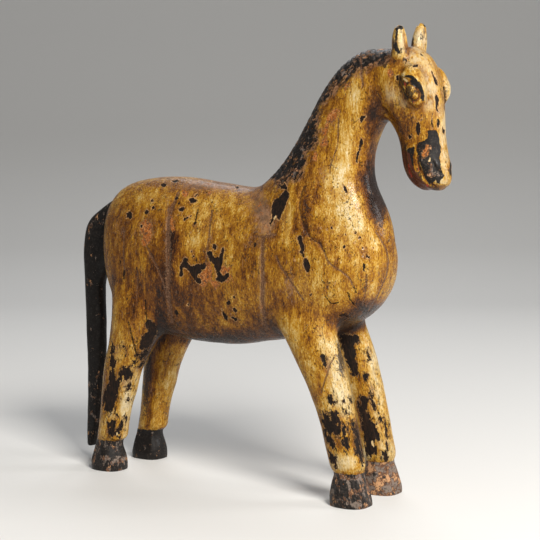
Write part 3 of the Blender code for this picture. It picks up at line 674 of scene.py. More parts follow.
def merged_copy(node: str) -> Mesh:
    """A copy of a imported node's mesh with its loose triangles joined.

    Args:
        node: The node's name.

    Returns:
        The new mesh.
    """
    form = bmesh.new()
    form.from_mesh(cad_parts[node].data)
    bmesh.ops.remove_doubles(form, verts=form.verts[:], dist=1e-6)
    for layer in list(form.verts.layers.float.values()):
        form.verts.layers.float.remove(layer)
    mesh = bpy.data.meshes.new(node + "_skin")
    form.to_mesh(mesh)
    form.free()
    mesh.materials.clear()
    return mesh


def new_piece(name: str, mesh: Mesh) -> Object:
    """Puts a mesh into the scene.

    Args:
        name: The piece's name.
        mesh: What it shows.

    Returns:
        The piece, at the origin.
    """
    piece = bpy.data.objects.new(name, mesh)
    bpy.context.scene.collection.objects.link(piece)
    return piece


def baked(piece: Object) -> Mesh:
    """Turns what a piece's modifiers make into its plain mesh.

    Args:
        piece: The piece, which loses its modifiers.

    Returns:
        The new mesh.
    """
    graph = bpy.context.evaluated_depsgraph_get()
    graph.update()
    mesh = bpy.data.meshes.new_from_object(piece.evaluated_get(graph), depsgraph=graph)
    piece.modifiers.clear()
    piece.data = mesh
    return mesh


def remeshed(piece: Object, grid: float) -> Mesh:
    """Covers a piece with an even net of small faces.

    Args:
        piece: The closed piece.
        grid: The faces' size in metres.

    Returns:
        The new mesh.
    """
    net = piece.modifiers.new("net", "REMESH")
    net.mode = "VOXEL"
    net.voxel_size = grid
    return baked(piece)


def wash_facets(skin: Skin, cad: BVHTree, rounds: Array) -> None:
    """Smooths the solid's facets away and keeps its size.

    Args:
        skin: The net over the solid.
        cad: The solid's own faces.
        rounds: How many rounds of smoothing each point gets.
    """
    for done in range(int(rounds.max())):
        skin.points = skin.spread(skin.points, 1, 0.5 * np.clip(rounds - done, 0, 1))
    skin.write()
    gap = np.empty(len(skin.points))
    for i, point in enumerate(skin.points):
        nearest = cad.find_nearest(Vector(point))[0]
        gap[i] = (np.array(nearest) - point) @ skin.normals[i]
    skin.push(skin.spread(gap, 30))


def shade_smooth(mesh: Mesh) -> None:
    """Shades all faces smooth.

    Args:
        mesh: The mesh.
    """
    mesh.polygons.foreach_set("use_smooth", np.ones(len(mesh.polygons), bool))
    mesh.update()


@dataclass
class Eyes:
    """The two eyes: a thick upper lid, a thin lower lid and the ball between them."""

    upper_lid: Outline = (
        (396.5, 76.5), (400, 74.5), (405, 75), (411, 76), (416, 79.5), (420, 85), (423, 92), (424.5, 100),
    )
    lower_lid: Outline = ((399, 80), (402.5, 84.5), (404.5, 91), (408.5, 98.5), (413, 104), (416.5, 107))
    ball: Pixel = (411, 92.5)
    lid_rise: float = 0.0009
    lower_rise: float = 0.0005
    ball_rise: float = 0.0011
    groove: float = 0.0012

    def relief(self, skin: Skin, tree: BVHTree) -> Array:
        """What the eyes add to the skin.

        Args:
            skin: The horse's skin.
            tree: The same skin to cast rays at.

        Returns:
            How far out each point goes.
        """
        twin = skin.points * np.where(skin.points[:, 1:2] > 0, (1, -1, 1), (1, 1, 1))
        upper = distance_to_path(twin, VIEW.spots(tree, self.upper_lid)) / MM
        lower = distance_to_path(twin, VIEW.spots(tree, self.lower_lid)) / MM
        middle = VIEW.spots(tree, (self.ball,))[0]
        away = (twin - middle) / MM
        tilt = math.radians(22)
        along = away[:, 0] * math.sin(tilt) - away[:, 2] * math.cos(tilt)
        across = away[:, 0] * math.cos(tilt) + away[:, 2] * math.sin(tilt)
        ring = np.sqrt((along / 8.2) ** 2 + (across / 6.2) ** 2 + (away[:, 1] / 9) ** 2)
        made = self.lid_rise * bell(upper, 2.4) + self.lower_rise * bell(lower, 1.5)
        made += self.ball_rise * (1 - level(ring, 0.2, 1.0))
        made -= self.groove * bell(ring - 1.12, 0.2) * (1 - bell(upper, 2.0)) * (1 - bell(lower, 1.2))
        return made


@dataclass
class Mouth:
    """The mouth's two cut lines with the lip between them, and the nostrils."""

    upper_line: Outline = ((417, 158), (418, 165), (421, 171), (425, 177.5), (430, 183), (436, 187))
    lower_line: Outline = ((405.5, 154.5), (406, 162), (408, 170), (412, 178.5), (417, 185), (423, 189.5))
    lip_line: Outline = ((411, 157), (413, 166), (417, 174.5), (423, 182), (431, 187.5))
    nostril: Pixel = (437.5, 166)
    slot: Outline = ((433.5, 163), (435, 168), (438.5, 171.5), (441, 172.5))
    cut: float = 0.0012
    lip_rise: float = 0.0004
    nostril_rise: float = 0.0011

    def relief(self, skin: Skin, tree: BVHTree) -> Array:
        """What the mouth and nostrils add to the skin.

        Args:
            skin: The horse's skin.
            tree: The same skin to cast rays at.

        Returns:
            How far out each point goes.
        """
        twin = skin.points * np.where(skin.points[:, 1:2] > 0, (1, -1, 1), (1, 1, 1))
        upper = distance_to_path(twin, VIEW.spots(tree, self.upper_line)) / MM
        lower = distance_to_path(twin, VIEW.spots(tree, self.lower_line)) / MM
        lip = distance_to_path(twin, VIEW.spots(tree, self.lip_line)) / MM
        slot = distance_to_path(twin, VIEW.spots(tree, self.slot)) / MM
        wing = np.linalg.norm(twin - VIEW.spots(tree, (self.nostril,))[0], axis=1) / MM
        made = -self.cut * bell(upper, 1.2) - 0.8 * self.cut * bell(lower, 1.2)
        made += self.lip_rise * bell(lip, 2.2) + self.nostril_rise * bell(wing, 4.0)
        return made - 1.2 * self.cut * bell(slot, 1.4)


class PaintPlaces:
    """Where each point of the horse lies in the picture, straight on or as its mirror image."""

    def __init__(self, skin: Skin, tree: BVHTree) -> None:
        """Looks at the skin from the picture's camera.

        Args:
            skin: The horse's skin.
            tree: The same skin to cast rays at.
        """
        mirror = np.array((1.0, -1.0, 1.0))
        self.skin = skin
        self.near = VIEW.pixels(skin.points)
        self.twin = VIEW.pixels(skin.points * mirror)
        self.seen = self.shown(tree, skin.points, skin.normals)
        self.twin_seen = (1 - self.seen) * self.shown(tree, skin.points * mirror, skin.normals * mirror)

    def shown(self, tree: BVHTree, points: Array, normals: Array) -> Array:
        """How plainly the camera sees places.

        Args:
            tree: The surface that may stand in the way.
            points: The places.
            normals: Which way they face.

        Returns:
            From 0 for hidden to 1 for plain to see.
        """
        away = VIEW.eye() - points
        away /= np.linalg.norm(away, axis=1)[:, None]
        facing = np.sum(normals * away, axis=1)
        start = points + normals * 2 * MM
        clear = np.zeros(len(points))
        for i in np.flatnonzero(facing > 0.03):
            clear[i] = tree.ray_cast(Vector(start[i]), Vector(away[i]))[0] is None
        return level(self.skin.spread(clear * level(facing, 0.0, 0.15), 3), 0.25, 0.75)

    def depth(self, marks: dict[str, Outline], both_sides: bool = False) -> Array:
        """How deep the points lie inside marks.

        Args:
            marks: The marks' outlines by name.
            both_sides: Whether the hidden side has them too.

        Returns:
            The depth in pixels, down to -REACH outside.
        """
        deep = np.full(len(self.near), -REACH)
        for outline in marks.values():
            deep = np.maximum(deep, inside_distance(self.near, outline) - REACH * (1 - self.seen))
            if both_sides:
                deep = np.maximum(deep, inside_distance(self.twin, outline) - REACH * self.seen)
        return np.maximum(deep, -REACH)

    def moved(self, marks: dict[str, Outline], across: float, down: float) -> Array:
        """How deep the hidden side's points lie inside marks that sit elsewhere there.

        Args:
            marks: The marks' outlines by name.
            across: How many pixels further right they sit on the mirrored side.
            down: How many pixels lower.

        Returns:
            The depth in pixels, down to -REACH outside.
        """
        deep = np.full(len(self.twin), -REACH)
        places = self.twin - (across, down)
        for outline in marks.values():
            deep = np.maximum(deep, inside_distance(places, outline) - REACH * (1 - self.twin_seen))
        return np.maximum(deep, -REACH)

    def dots(self, spots: tuple[tuple[float, float, float], ...]) -> Array:
        """How deep the points lie inside round dots.

        Args:
            spots: Each dot's pixel and radius.

        Returns:
            The depth in pixels, down to -REACH outside.
        """
        deep = np.full(len(self.near), -REACH)
        for x, y, radius in spots:
            gap = np.linalg.norm((self.near - (x, y)) * (1.0, 0.8), axis=1)
            deep = np.maximum(deep, radius - gap - REACH * (1 - self.seen))
        return deep

    def lines(self, paths: tuple[tuple[float, Outline], ...], both_sides: bool = False) -> Array:
        """How deep the points lie inside drawn lines.

        Args:
            paths: Each line's half width and corners.
            both_sides: Whether the hidden side has them too.

        Returns:
            The depth in pixels, down to -REACH outside.
        """
        deep = np.full(len(self.near), -REACH)
        for half, path in paths:
            deep = np.maximum(deep, half - distance_to_path(self.near, path) - REACH * (1 - self.seen))
            if both_sides:
                gap = distance_to_path(self.twin, path)
                deep = np.maximum(deep, half - gap - REACH * (1 - self.twin_seen))
        return deep

    def blobs(self, spots: tuple[tuple[float, float, float, float, float], ...]) -> Array:
        """Soft broad spots added together, on both sides.

        Args:
            spots: Each one's pixel, half width, half height and strength.

        Returns:
            The sum at each point.
        """
        total = np.zeros(len(self.near))
        for places, share in ((self.near, self.seen), (self.twin, 0.8 * (1 - self.seen))):
            for x, y, wide, high, strength in spots:
                away = ((places[:, 0] - x) / wide) ** 2 + ((places[:, 1] - y) / high) ** 2
                total += share * strength * np.exp(-away)
        return total


@dataclass
class WornPaint:
    """The old paint on the horse: where it is chipped, black, cracked, pale or dirty.

    Depths are in metres.
    """

    chip: float = 0.0005
    primer_step: float = 0.0002
    seam: float = 0.00025
    crack: float = 0.0007
    groove: float = 0.0007
    lip: float = 0.0005
    mane_cut: float = 0.0009
    hoof_top: float = 0.0315
    hoof_ring: float = 0.0006
    sole: float = 0.002
    primer_shift: Pixel = (17, 12)
    # How much darker the faces that point down are painted: painted shade.
    shade_below: float = 0.75
    # How much grey the faces that point up get: dust and painted sheen.
    dust_and_sheen_above: float = 0.35
    leg_top: float = 150.0
    leg_lean: Pixel = (0.216, -0.176)
    busy_reach: float = 2.0

    def busy(self, places: PaintPlaces) -> Array:
        """Whether each point lies near a mark that needs small faces.

        Args:
            places: The horse in the picture.

        Returns:
            One truth for each point.
        """
        deep = np.maximum(places.depth(BARE_MARKS | PRIMER_MARKS | RED_MARKS), places.dots(BARE_DOTS))
        deep = np.maximum(deep, places.lines(SEAMS + CRACKS + SHOULDER_LINE))
        return deep > -self.busy_reach

    def apply(self, skin: Skin, tree: BVHTree) -> None:
        """Cuts the marks into the skin and keeps their places for the finish.

        Args:
            skin: The horse's skin.
            tree: The same skin to cast rays at.
        """
        places = PaintPlaces(skin, tree)
        bare = np.maximum(places.depth(BARE_MARKS), places.dots(BARE_DOTS))
        for shift, names in LEFT_SIDE.items():
            bare = np.maximum(bare, places.moved({name: BARE_MARKS[name] for name in names}, *shift))
        primer = np.maximum(places.depth(PRIMER_MARKS), places.moved(PRIMER_MARKS, *self.primer_shift))
        mane = places.depth({"mane": MANE}, True)
        seam = places.lines(SEAMS, True)
        crack = places.lines(CRACKS)
        fold = places.lines(SHOULDER_LINE, True)
        up = skin.normals[:, 2]
        feet = (self.hoof_top - skin.points[:, 2]) / MM
        layers = {
            Layer.GRAIN: self.grain(skin.points / MM),
            Layer.BARE: bare,
            Layer.PRIMER: primer,
            Layer.BLACK: np.maximum(places.depth(BLACK_MARKS, True), places.depth(BLACK_BEYOND)),
            # The tone layer: the paint's own tone with painted highlights and painted shade, darker on
            # faces that point down.
            Layer.TONE_AND_LIGHT: places.blobs(TONES_AND_PAINTED_LIGHT) - self.shade_below * level(-up, 0.35, 0.95),
            # The scuffed layer also holds a painted sheen on faces that point up.
            Layer.SCUFF_AND_SHEEN: places.blobs(SCUFFS_AND_SHEEN) + self.dust_and_sheen_above * level(up, 0.75, 0.98),
            Layer.STAIN_AND_SHADE: places.blobs(STAINS_AND_SHADE),
            Layer.MANE: mane,
            Layer.CREAM: places.depth(CREAM_MARKS),
            Layer.RED: places.depth(RED_MARKS, True),
            Layer.LIP: places.depth({"lip": LOWER_LIP}, True),
            Layer.SEAM: seam,
            Layer.CRACK: crack,
            Layer.FOLD: fold,
            Layer.HOOF: feet,
            Layer.HOOF_WEAR: self.hoof_wear(skin.points),
            Layer.HOLLOW: self.hollows(skin),
            Layer.FLAKING: self.flaking(bare, primer, crack),
        }
        for layer, values in layers.items():
            skin.store(layer, values)
        relief = -self.chip * level(bare, -0.5, 0.6) - self.primer_step * level(primer, -0.5, 0.6)
        relief -= self.seam * level(seam, -0.9, 0.4) + self.crack * level(crack, -0.7, 0.5)
        relief -= self.groove * level(fold, -1.6, 0.6)
        relief += self.lip * bell(fold + 2.6, 1.1)
        relief -= self.mane_cuts(skin, mane)
        relief -= self.hoof_ring * bell(feet, 1.3)
        relief[skin.points[:, 2] < self.sole] = 0
        skin.push(relief)

    def grain(self, points: Array) -> Array:
        """Places along the grain, which leans with the legs.

        Args:
            points: Places in millimetres.

        Returns:
            The places with the lean taken out.
        """
        lean = np.where(points[:, 0] > 0, *self.leg_lean) * np.clip(self.leg_top - points[:, 2], 0, None)
        return np.column_stack([points[:, 0] - lean, points[:, 1], points[:, 2]])

    def flaking(self, bare: Array, primer: Array, crack: Array) -> Array:
        """How thickly flakes of paint stand up.

        Args:
            bare: Depth inside bare chips.
            primer: Depth inside primer.
            crack: Depth inside cracks.

        Returns:
            The share at each point, above 0 only along rims and cracks.
        """
        rim = np.maximum(bell(bare + 0.8, 1.0), 0.8 * bell(primer + 0.6, 0.9))
        edge = bell(crack + 0.8, 0.8)
        return np.where(rim + edge > 0.15, rim + 0.5 * edge, 0)

    def hollows(self, skin: Skin) -> Array:
        """How hollow or proud each point lies, from -1 for an edge to 1 for a groove."""
        gap = skin.spread(skin.points, 8) - skin.points
        return np.clip(np.sum(gap * skin.normals, axis=1) / (0.22 * MM), -1, 1)

    def hoof_wear(self, points: Array) -> Array:
        """How worn each hoof's black paint is."""
        fore, right = points[:, 0] > 0, points[:, 1] < 0
        return np.select([fore & right, fore & ~right, ~fore & right], [0.55, 0.95, 0.42], 0.06)

    def mane_cuts(self, skin: Skin, mane: Array) -> Array:
        """Shallow cuts that run down the mane like hair.

        Args:
            skin: The horse's skin.
            mane: Depth inside the mane.

        Returns:
            How deep each point is cut.
        """
        along = (0.55 * skin.points[:, 0] + 0.83 * skin.points[:, 2]) / MM
        wave = np.sin(along * 1.15 + 1.6 * np.sin(along * 0.21) + np.abs(skin.points[:, 1]) / MM * 0.25)
        return self.mane_cut * level(mane, 0.5, 4) * level(wave, -0.2, 0.9)


@dataclass
class HoofFlats:
    """Flat faces that the carver cut round each hoof, with angles in degrees round the hoof."""

    turns: tuple[tuple[float, ...], ...] = (
        (12, 68, 118, 172, 232, 292),
        (-8, 48, 108, 158, 222, 305),
        (22, 82, 135, 196, 248, 318),
        (-14, 40, 95, 165, 210, 275),
    )
    lean: float = 0.28
    bite: float = 0.0030
    soft: float = 0.0003

    def cut(self, skin: Skin, top: float) -> None:
        """Cuts the flats.

        Args:
            skin: The horse's skin.
            top: How high the hooves reach, in metres.
        """
        points = skin.points
        fore, left = points[:, 0] > 0, points[:, 1] > 0
        low = points[:, 2] < top
        for turns, foot in zip(self.turns, (fore & ~left, fore & left, ~fore & ~left, ~fore & left)):
            here = np.flatnonzero(foot & low)
            middle = np.append((points[here, :2].min(0) + points[here, :2].max(0)) / 2, 0)
            for turn in np.radians(turns):
                out = np.array((math.cos(turn), math.sin(turn), self.lean))
                reach = (points[here] - middle) @ out
                over = reach - (reach.max() - self.bite)
                fade = level(top - points[here, 2], 0, 0.004)
                back = np.log1p(np.exp(np.clip(over / self.soft, -30, 30))) * self.soft * fade
                points[here, :2] -= back[:, None] * out[:2]
        skin.write()


@dataclass
class HorseSkin:
    """The horse in one piece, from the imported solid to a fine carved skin."""

    grid: float = 0.0024
    sole_allowance: float = 0.005
    body_rounds: float = 19
    head_rounds: float = 7
    ear_growth: float = 0.0010
    eyes: Eyes = field(default_factory=Eyes)
    mouth: Mouth = field(default_factory=Mouth)
    paint: WornPaint = field(default_factory=WornPaint)

    def build(self) -> Object:
        """Makes the carved horse.

        Returns:
            The piece, without its finish.
        """
        source = merged_copy("horse")
        cad = Skin(source).tree()
        low = [v for v in source.vertices if v.co.z < 0.2 * MM]
        for corner in low:
            corner.co.z -= self.sole_allowance
        piece = new_piece("carved_horse", source)
        remeshed(piece, self.grid)
        self.refine(piece.data)
        skin = Skin(piece.data)
        wash_facets(skin, cad, self.smoothing(skin.points))
        self.cut_soles(piece.data)
        skin = Skin(piece.data)
        tree = skin.tree()
        skin.push(self.eyes.relief(skin, tree) + self.mouth.relief(skin, tree) + self.ears(skin))
        HoofFlats().cut(skin, self.paint.hoof_top)
        self.paint.apply(skin, tree)
        shade_smooth(piece.data)
        return piece

    def ears(self, skin: Skin) -> Array:
        """How much the ears thicken sideways, in metres."""
        upright = 1 - level(np.abs(skin.normals[:, 2]), 0.3, 0.8)
        return self.ear_growth * level(skin.points[:, 2], 0.424, 0.434) * upright

    def smoothing(self, points: Array) -> Array:
        """How many rounds of smoothing each place needs.

        Args:
            points: Places on the skin.

        Returns:
            Many rounds on the body, few on the head and the feet.
        """
        head = level(points[:, 0] + 0.5 * points[:, 2], 0.325, 0.355)
        feet = 1 - level(points[:, 2], 0.036, 0.07)
        keep = np.maximum(head, feet)
        return self.body_rounds + (self.head_rounds - self.body_rounds) * keep

    def refine(self, mesh: Mesh) -> None:
        """Splits the faces of the head and round the paint's marks once more.

        Args:
            mesh: The net over the horse.
        """
        skin = Skin(mesh)
        busy = self.paint.busy(PaintPlaces(skin, skin.tree()))
        busy |= (skin.points[:, 2] > 0.28) & (skin.points[:, 0] + 0.5 * skin.points[:, 2] > 0.325)
        form = bmesh.new()
        form.from_mesh(mesh)
        form.verts.ensure_lookup_table()
        edges = [e for e in form.edges if busy[e.verts[0].index] and busy[e.verts[1].index]]
        bmesh.ops.subdivide_edges(form, edges=edges, cuts=1, use_grid_fill=True)
        bmesh.ops.triangulate(form, faces=[f for f in form.faces if len(f.verts) > 4])
        form.to_mesh(mesh)
        form.free()

    def cut_soles(self, mesh: Mesh) -> None:
        """Cuts the hooves off flat at the floor.

        Args:
            mesh: The smoothed skin, which reaches below the floor.
        """
        form = bmesh.new()
        form.from_mesh(mesh)
        every = form.verts[:] + form.edges[:] + form.faces[:]
        cut = bmesh.ops.bisect_plane(
            form, geom=every, dist=1e-5, plane_co=(0, 0, 0), plane_no=(0, 0, 1), clear_inner=True
        )
        rim = [edge for edge in cut["geom_cut"] if isinstance(edge, bmesh.types.BMEdge)]
        bmesh.ops.contextual_create(form, geom=rim)
        bmesh.ops.triangulate(form, faces=[f for f in form.faces if len(f.verts) > 4])
        bmesh.ops.recalc_face_normals(form, faces=form.faces[:])
        form.to_mesh(mesh)
        form.free()


@dataclass
class TailSkin:
    """The tail, a long bar with softened edges."""

    grid: float = 0.0016
    rounds: float = 8

    def build(self) -> Object:
        """Makes the tail.

        Returns:
            The piece, without its finish.
        """
        source = merged_copy("tail")
        cad = Skin(source).tree()
        piece = new_piece("carved_tail", source)
        remeshed(piece, self.grid)
        skin = Skin(piece.data)
        wash_facets(skin, cad, np.full(len(skin.points), self.rounds))
        low = 1 - level(skin.points[:, 2], 0.03, 0.16)
        skin.store(Layer.WEAR, np.maximum(0.25 * low, 0.22 * level(skin.points[:, 2], 0.2, 0.26)))
        shade_smooth(piece.data)
        return piece


class Net:
    """Adds nodes to one node tree, each with its feeds: sockets to link, or plain values."""

    def __init__(self, tree: NodeTree) -> None:
        """Takes the tree.

        Args:
            tree: The node tree to add to.
        """
        self.tree = tree

    def node(self, kind: str, feeds: dict[int | str, Feed] | None = None, **settings: object) -> Node:
        """Adds a node.

        Args:
            kind: Blender's name of the node.
            feeds: What goes into its inputs.
            settings: Its other properties.

        Returns:
            The node.
        """
        made = self.tree.nodes.new(kind)
        for name, value in settings.items():
            setattr(made, name, value)
        self.feed(made, feeds or {})
        return made

    def feed(self, node: Node, feeds: dict[int | str, Feed]) -> None:
        """Links or sets a node's inputs.

        Args:
            node: The node.
            feeds: What goes into its inputs.
        """
        for key, feed in feeds.items():
            if isinstance(feed, NodeSocket):
                self.tree.links.new(feed, node.inputs[key])
            else:
                node.inputs[key].default_value = feed

    def math(self, operation: str, *feeds: Feed) -> NodeSocket:
        """One sum of the given kind."""
        return self.node("ShaderNodeMath", dict(enumerate(feeds)), operation=operation).outputs[0]

    def chain(self, operation: str, feeds: tuple[Feed, ...]) -> NodeSocket:
        """One kind of sum over all feeds in turn."""
        return functools.reduce(lambda made, feed: self.math(operation, made, feed), feeds)

    def total(self, *feeds: Feed) -> NodeSocket:
        """All feeds added up."""
        return self.chain("ADD", feeds)

    def times(self, *feeds: Feed) -> NodeSocket:
        """All feeds multiplied."""
        return self.chain("MULTIPLY", feeds)

    def most(self, *feeds: Feed) -> NodeSocket:
        """The greatest of all feeds."""
        return self.chain("MAXIMUM", feeds)

    def rest(self, share: Feed) -> NodeSocket:
        """What a share leaves of 1."""
        return self.math("SUBTRACT", 1.0, share)

    def swing(self, noise: Feed) -> NodeSocket:
        """Noise around 0 from noise around a half."""
        return self.math("SUBTRACT", noise, 0.5)

    def ease(self, value: Feed, low: float, high: float, start: float = 0, end: float = 1) -> NodeSocket:
        """A smooth step between two values."""
        feeds = {"Value": value, "From Min": low, "From Max": high, "To Min": start, "To Max": end}
        return self.node("ShaderNodeMapRange", feeds, interpolation_type="SMOOTHSTEP").outputs[0]

    def mix(self, share: Feed, one: Feed, two: Feed) -> NodeSocket:
        """A colour between two others."""
        tints = [(*feed, 1) if isinstance(feed, tuple) else feed for feed in (one, two)]
        return self.node("ShaderNodeMix", {0: share, 6: tints[0], 7: tints[1]}, data_type="RGBA").outputs[2]

    def between(self, share: Feed, one: Feed, two: Feed) -> NodeSocket:
        """A number between two others."""
        return self.node("ShaderNodeMix", {0: share, 2: one, 3: two}, data_type="FLOAT").outputs[0]

    def stretch(self, place: Feed, scale: Point) -> NodeSocket:
        """A place with each axis scaled."""
        return self.node("ShaderNodeVectorMath", {0: place, 1: scale}, operation="MULTIPLY").outputs[0]

    def noise(
        self, place: Feed, scale: float, detail: float = 3.0, rough: float = 0.55, along: float = 1.0
    ) -> NodeSocket:
        """Cloudy noise around a half.

        Args:
            place: Where it is looked up, in millimetres.
            scale: How many spots a millimetre holds.
            detail: How many finer layers it has.
            rough: How strong they are.
            along: The scale upwards as a share of the scale across.

        Returns:
            The noise.
        """
        spot = place if along == 1.0 else self.stretch(place, (1, 1, along))
        feeds = {"Vector": spot, "Scale": scale, "Detail": detail, "Roughness": rough}
        return self.node("ShaderNodeTexNoise", feeds).outputs[0]

    def cells(self, place: Feed, scale: float) -> NodeSocket:
        """How far the nearest of some scattered points is."""
        return self.node("ShaderNodeTexVoronoi", {"Vector": place, "Scale": scale}).outputs["Distance"]

    def kept(self, layer: Layer, want: str = "Fac") -> NodeSocket:
        """What the mesh keeps in a layer."""
        return self.node("ShaderNodeAttribute", attribute_name=layer.value).outputs[want]

    def give(self, feed: NodeSocket, node: Node, key: int | str) -> None:
        """Links a feed to one input of a node."""
        self.tree.links.new(feed, node.inputs[key])

    def ramp(self, share: Feed, stops: tuple[tuple[float, Point], ...]) -> NodeSocket:
        """A colour from a row of colours.

        Args:
            share: Where in the row.
            stops: Each colour with its place in the row.

        Returns:
            The colour.
        """
        made = self.node("ShaderNodeValToRGB", {0: share})
        row = made.color_ramp.elements
        while len(row) < len(stops):
            row.new(1.0)
        for stop, (place, colour) in zip(row, stops):
            stop.position = place
            stop.color = (*colour, 1)
        return made.outputs[0]

    def use(self, group: NodeTree, **feeds: Feed) -> Sockets:
        """Adds a group.

        Args:
            group: The group's tree.
            feeds: What goes into its inputs.

        Returns:
            Its outputs by name.
        """
        made = self.node("ShaderNodeGroup", node_tree=group)
        self.feed(made, feeds)
        return {socket.name: socket for socket in made.outputs}


PAINT_GIVES = {"Colour": "Color", "Roughness": "Float", "Height": "Float"}


def group_tree(name: str, takes: dict[str, str], gives: dict[str, str]) -> tuple[Net, Sockets, Node]:
    """Starts a shader group.

    Args:
        name: The group's name.
        takes: Its inputs' names and kinds.
        gives: Its outputs' names and kinds.

    Returns:
        The net to build in, the inputs by name, and the node that takes the outputs.
    """
    tree = bpy.data.node_groups.new(name, "ShaderNodeTree")
    for title, kind in takes.items():
        tree.interface.new_socket(title, in_out="INPUT", socket_type=f"NodeSocket{kind}")
    for title, kind in gives.items():
        tree.interface.new_socket(title, in_out="OUTPUT", socket_type=f"NodeSocket{kind}")
    entry = tree.nodes.new("NodeGroupInput")
    end = tree.nodes.new("NodeGroupOutput")
    return Net(tree), {socket.name: socket for socket in entry.outputs}, end


@dataclass(frozen=True)
class GrainGroup:
    """Fine upright wood grain and the short dark pores that lie along it. Places are in millimetres."""

    along: float = 0.09

    def build(self) -> NodeTree:
        """Makes the group.

        Returns:
            The group, with a Place input, and Streak and Pores outputs.
        """
        gives = {"Streak": "Float", "Pores": "Float"}
        net, come, end = group_tree("upright_grain", {"Place": "Vector"}, gives)
        fine = net.noise(come["Place"], 0.9, 4, 0.65, along=self.along)
        broad = net.noise(come["Place"], 0.17, 3, 0.5, along=0.2)
        net.give(net.between(0.45, fine, broad), end, "Streak")
        dash = net.cells(net.stretch(come["Place"], (1, 1, 0.28)), 0.28)
        patchy = net.ease(net.noise(come["Place"], 0.045, 2), 0.45, 0.62)
        pores = net.times(net.ease(dash, 0.15, 0.09), patchy)
        net.give(pores, end, "Pores")
        return net.tree


@dataclass(frozen=True)
class TornEdgeGroup:
    """Turns a smooth depth inside a mark into a torn edge with a pale rim outside it."""

    tear: float = 4.2
    rim: float = 0.9

    def build(self) -> NodeTree:
        """Makes the group.

        Returns:
            The group, with Place, Depth and Tear inputs, and Mask and Rim outputs.
        """
        takes = {"Place": "Vector", "Depth": "Float", "Tear": "Float"}
        net, come, end = group_tree("torn_edge", takes, {"Mask": "Float", "Rim": "Float"})
        rough = net.swing(net.noise(come["Place"], 0.5, 5, 0.72, along=0.7))
        coarse = net.swing(net.noise(come["Place"], 0.2, 2, along=0.45))
        waver = net.total(net.times(rough, self.tear), net.times(coarse, self.tear))
        waver = net.times(waver, come["Tear"])
        deep = net.total(come["Depth"], waver)
        mask = net.ease(deep, -0.12, 0.18)
        net.give(mask, end, "Mask")
        outside = net.ease(deep, -self.rim, -0.25)
        net.give(net.times(outside, net.rest(mask)), end, "Rim")
        return net.tree


@dataclass(frozen=True)
class BlackPaintGroup:
    """Thin black paint, streaked along the grain and worn through to grey and brown."""

    black: Point = (0.010, 0.008, 0.007)
    soot: Point = (0.045, 0.036, 0.030)
    grey: Point = (0.20, 0.155, 0.125)
    brown: Point = (0.12, 0.048, 0.022)
    tan: Point = (0.50, 0.27, 0.13)

    def build(self, grain: NodeTree) -> NodeTree:
        """Makes the group.

        Args:
            grain: The grain group.

        Returns:
            The group, with Place and Wear inputs, and Colour, Roughness and Height outputs.
        """
        takes = {"Place": "Vector", "Wear": "Float"}
        net, come, end = group_tree("worn_black", takes, PAINT_GIVES)
        lines = net.use(grain, Place=come["Place"])
        blotch = net.noise(come["Place"], 0.13, 5, 0.68)
        raw = net.between(0.4, blotch, lines["Streak"])
        worn = net.ease(net.total(raw, net.times(come["Wear"], 0.16)), 0.585, 0.605)
        dusty = net.total(net.noise(come["Place"], 0.5, 4, 0.7), net.times(come["Wear"], 0.15))
        dusty = net.ease(dusty, 0.5, 0.75)
        colour = net.mix(net.times(dusty, 0.75), self.black, self.soot)
        kinds = net.noise(come["Place"], 0.11, 5, 0.72)
        under = net.mix(net.ease(kinds, 0.46, 0.52), self.grey, self.brown)
        under = net.mix(net.ease(kinds, 0.54, 0.57), under, self.tan)
        under = net.mix(net.ease(net.noise(come["Place"], 0.7, 3), 0.56, 0.62), under, self.soot)
        net.give(net.mix(worn, colour, under), end, "Colour")
        net.give(net.between(worn, net.ease(raw, 0.3, 0.7, 0.34, 0.6), 0.7), end, "Roughness")
        high = net.total(net.times(worn, -0.22), net.times(lines["Streak"], 0.35), net.times(dusty, 0.08))
        net.give(high, end, "Height")
        return net.tree


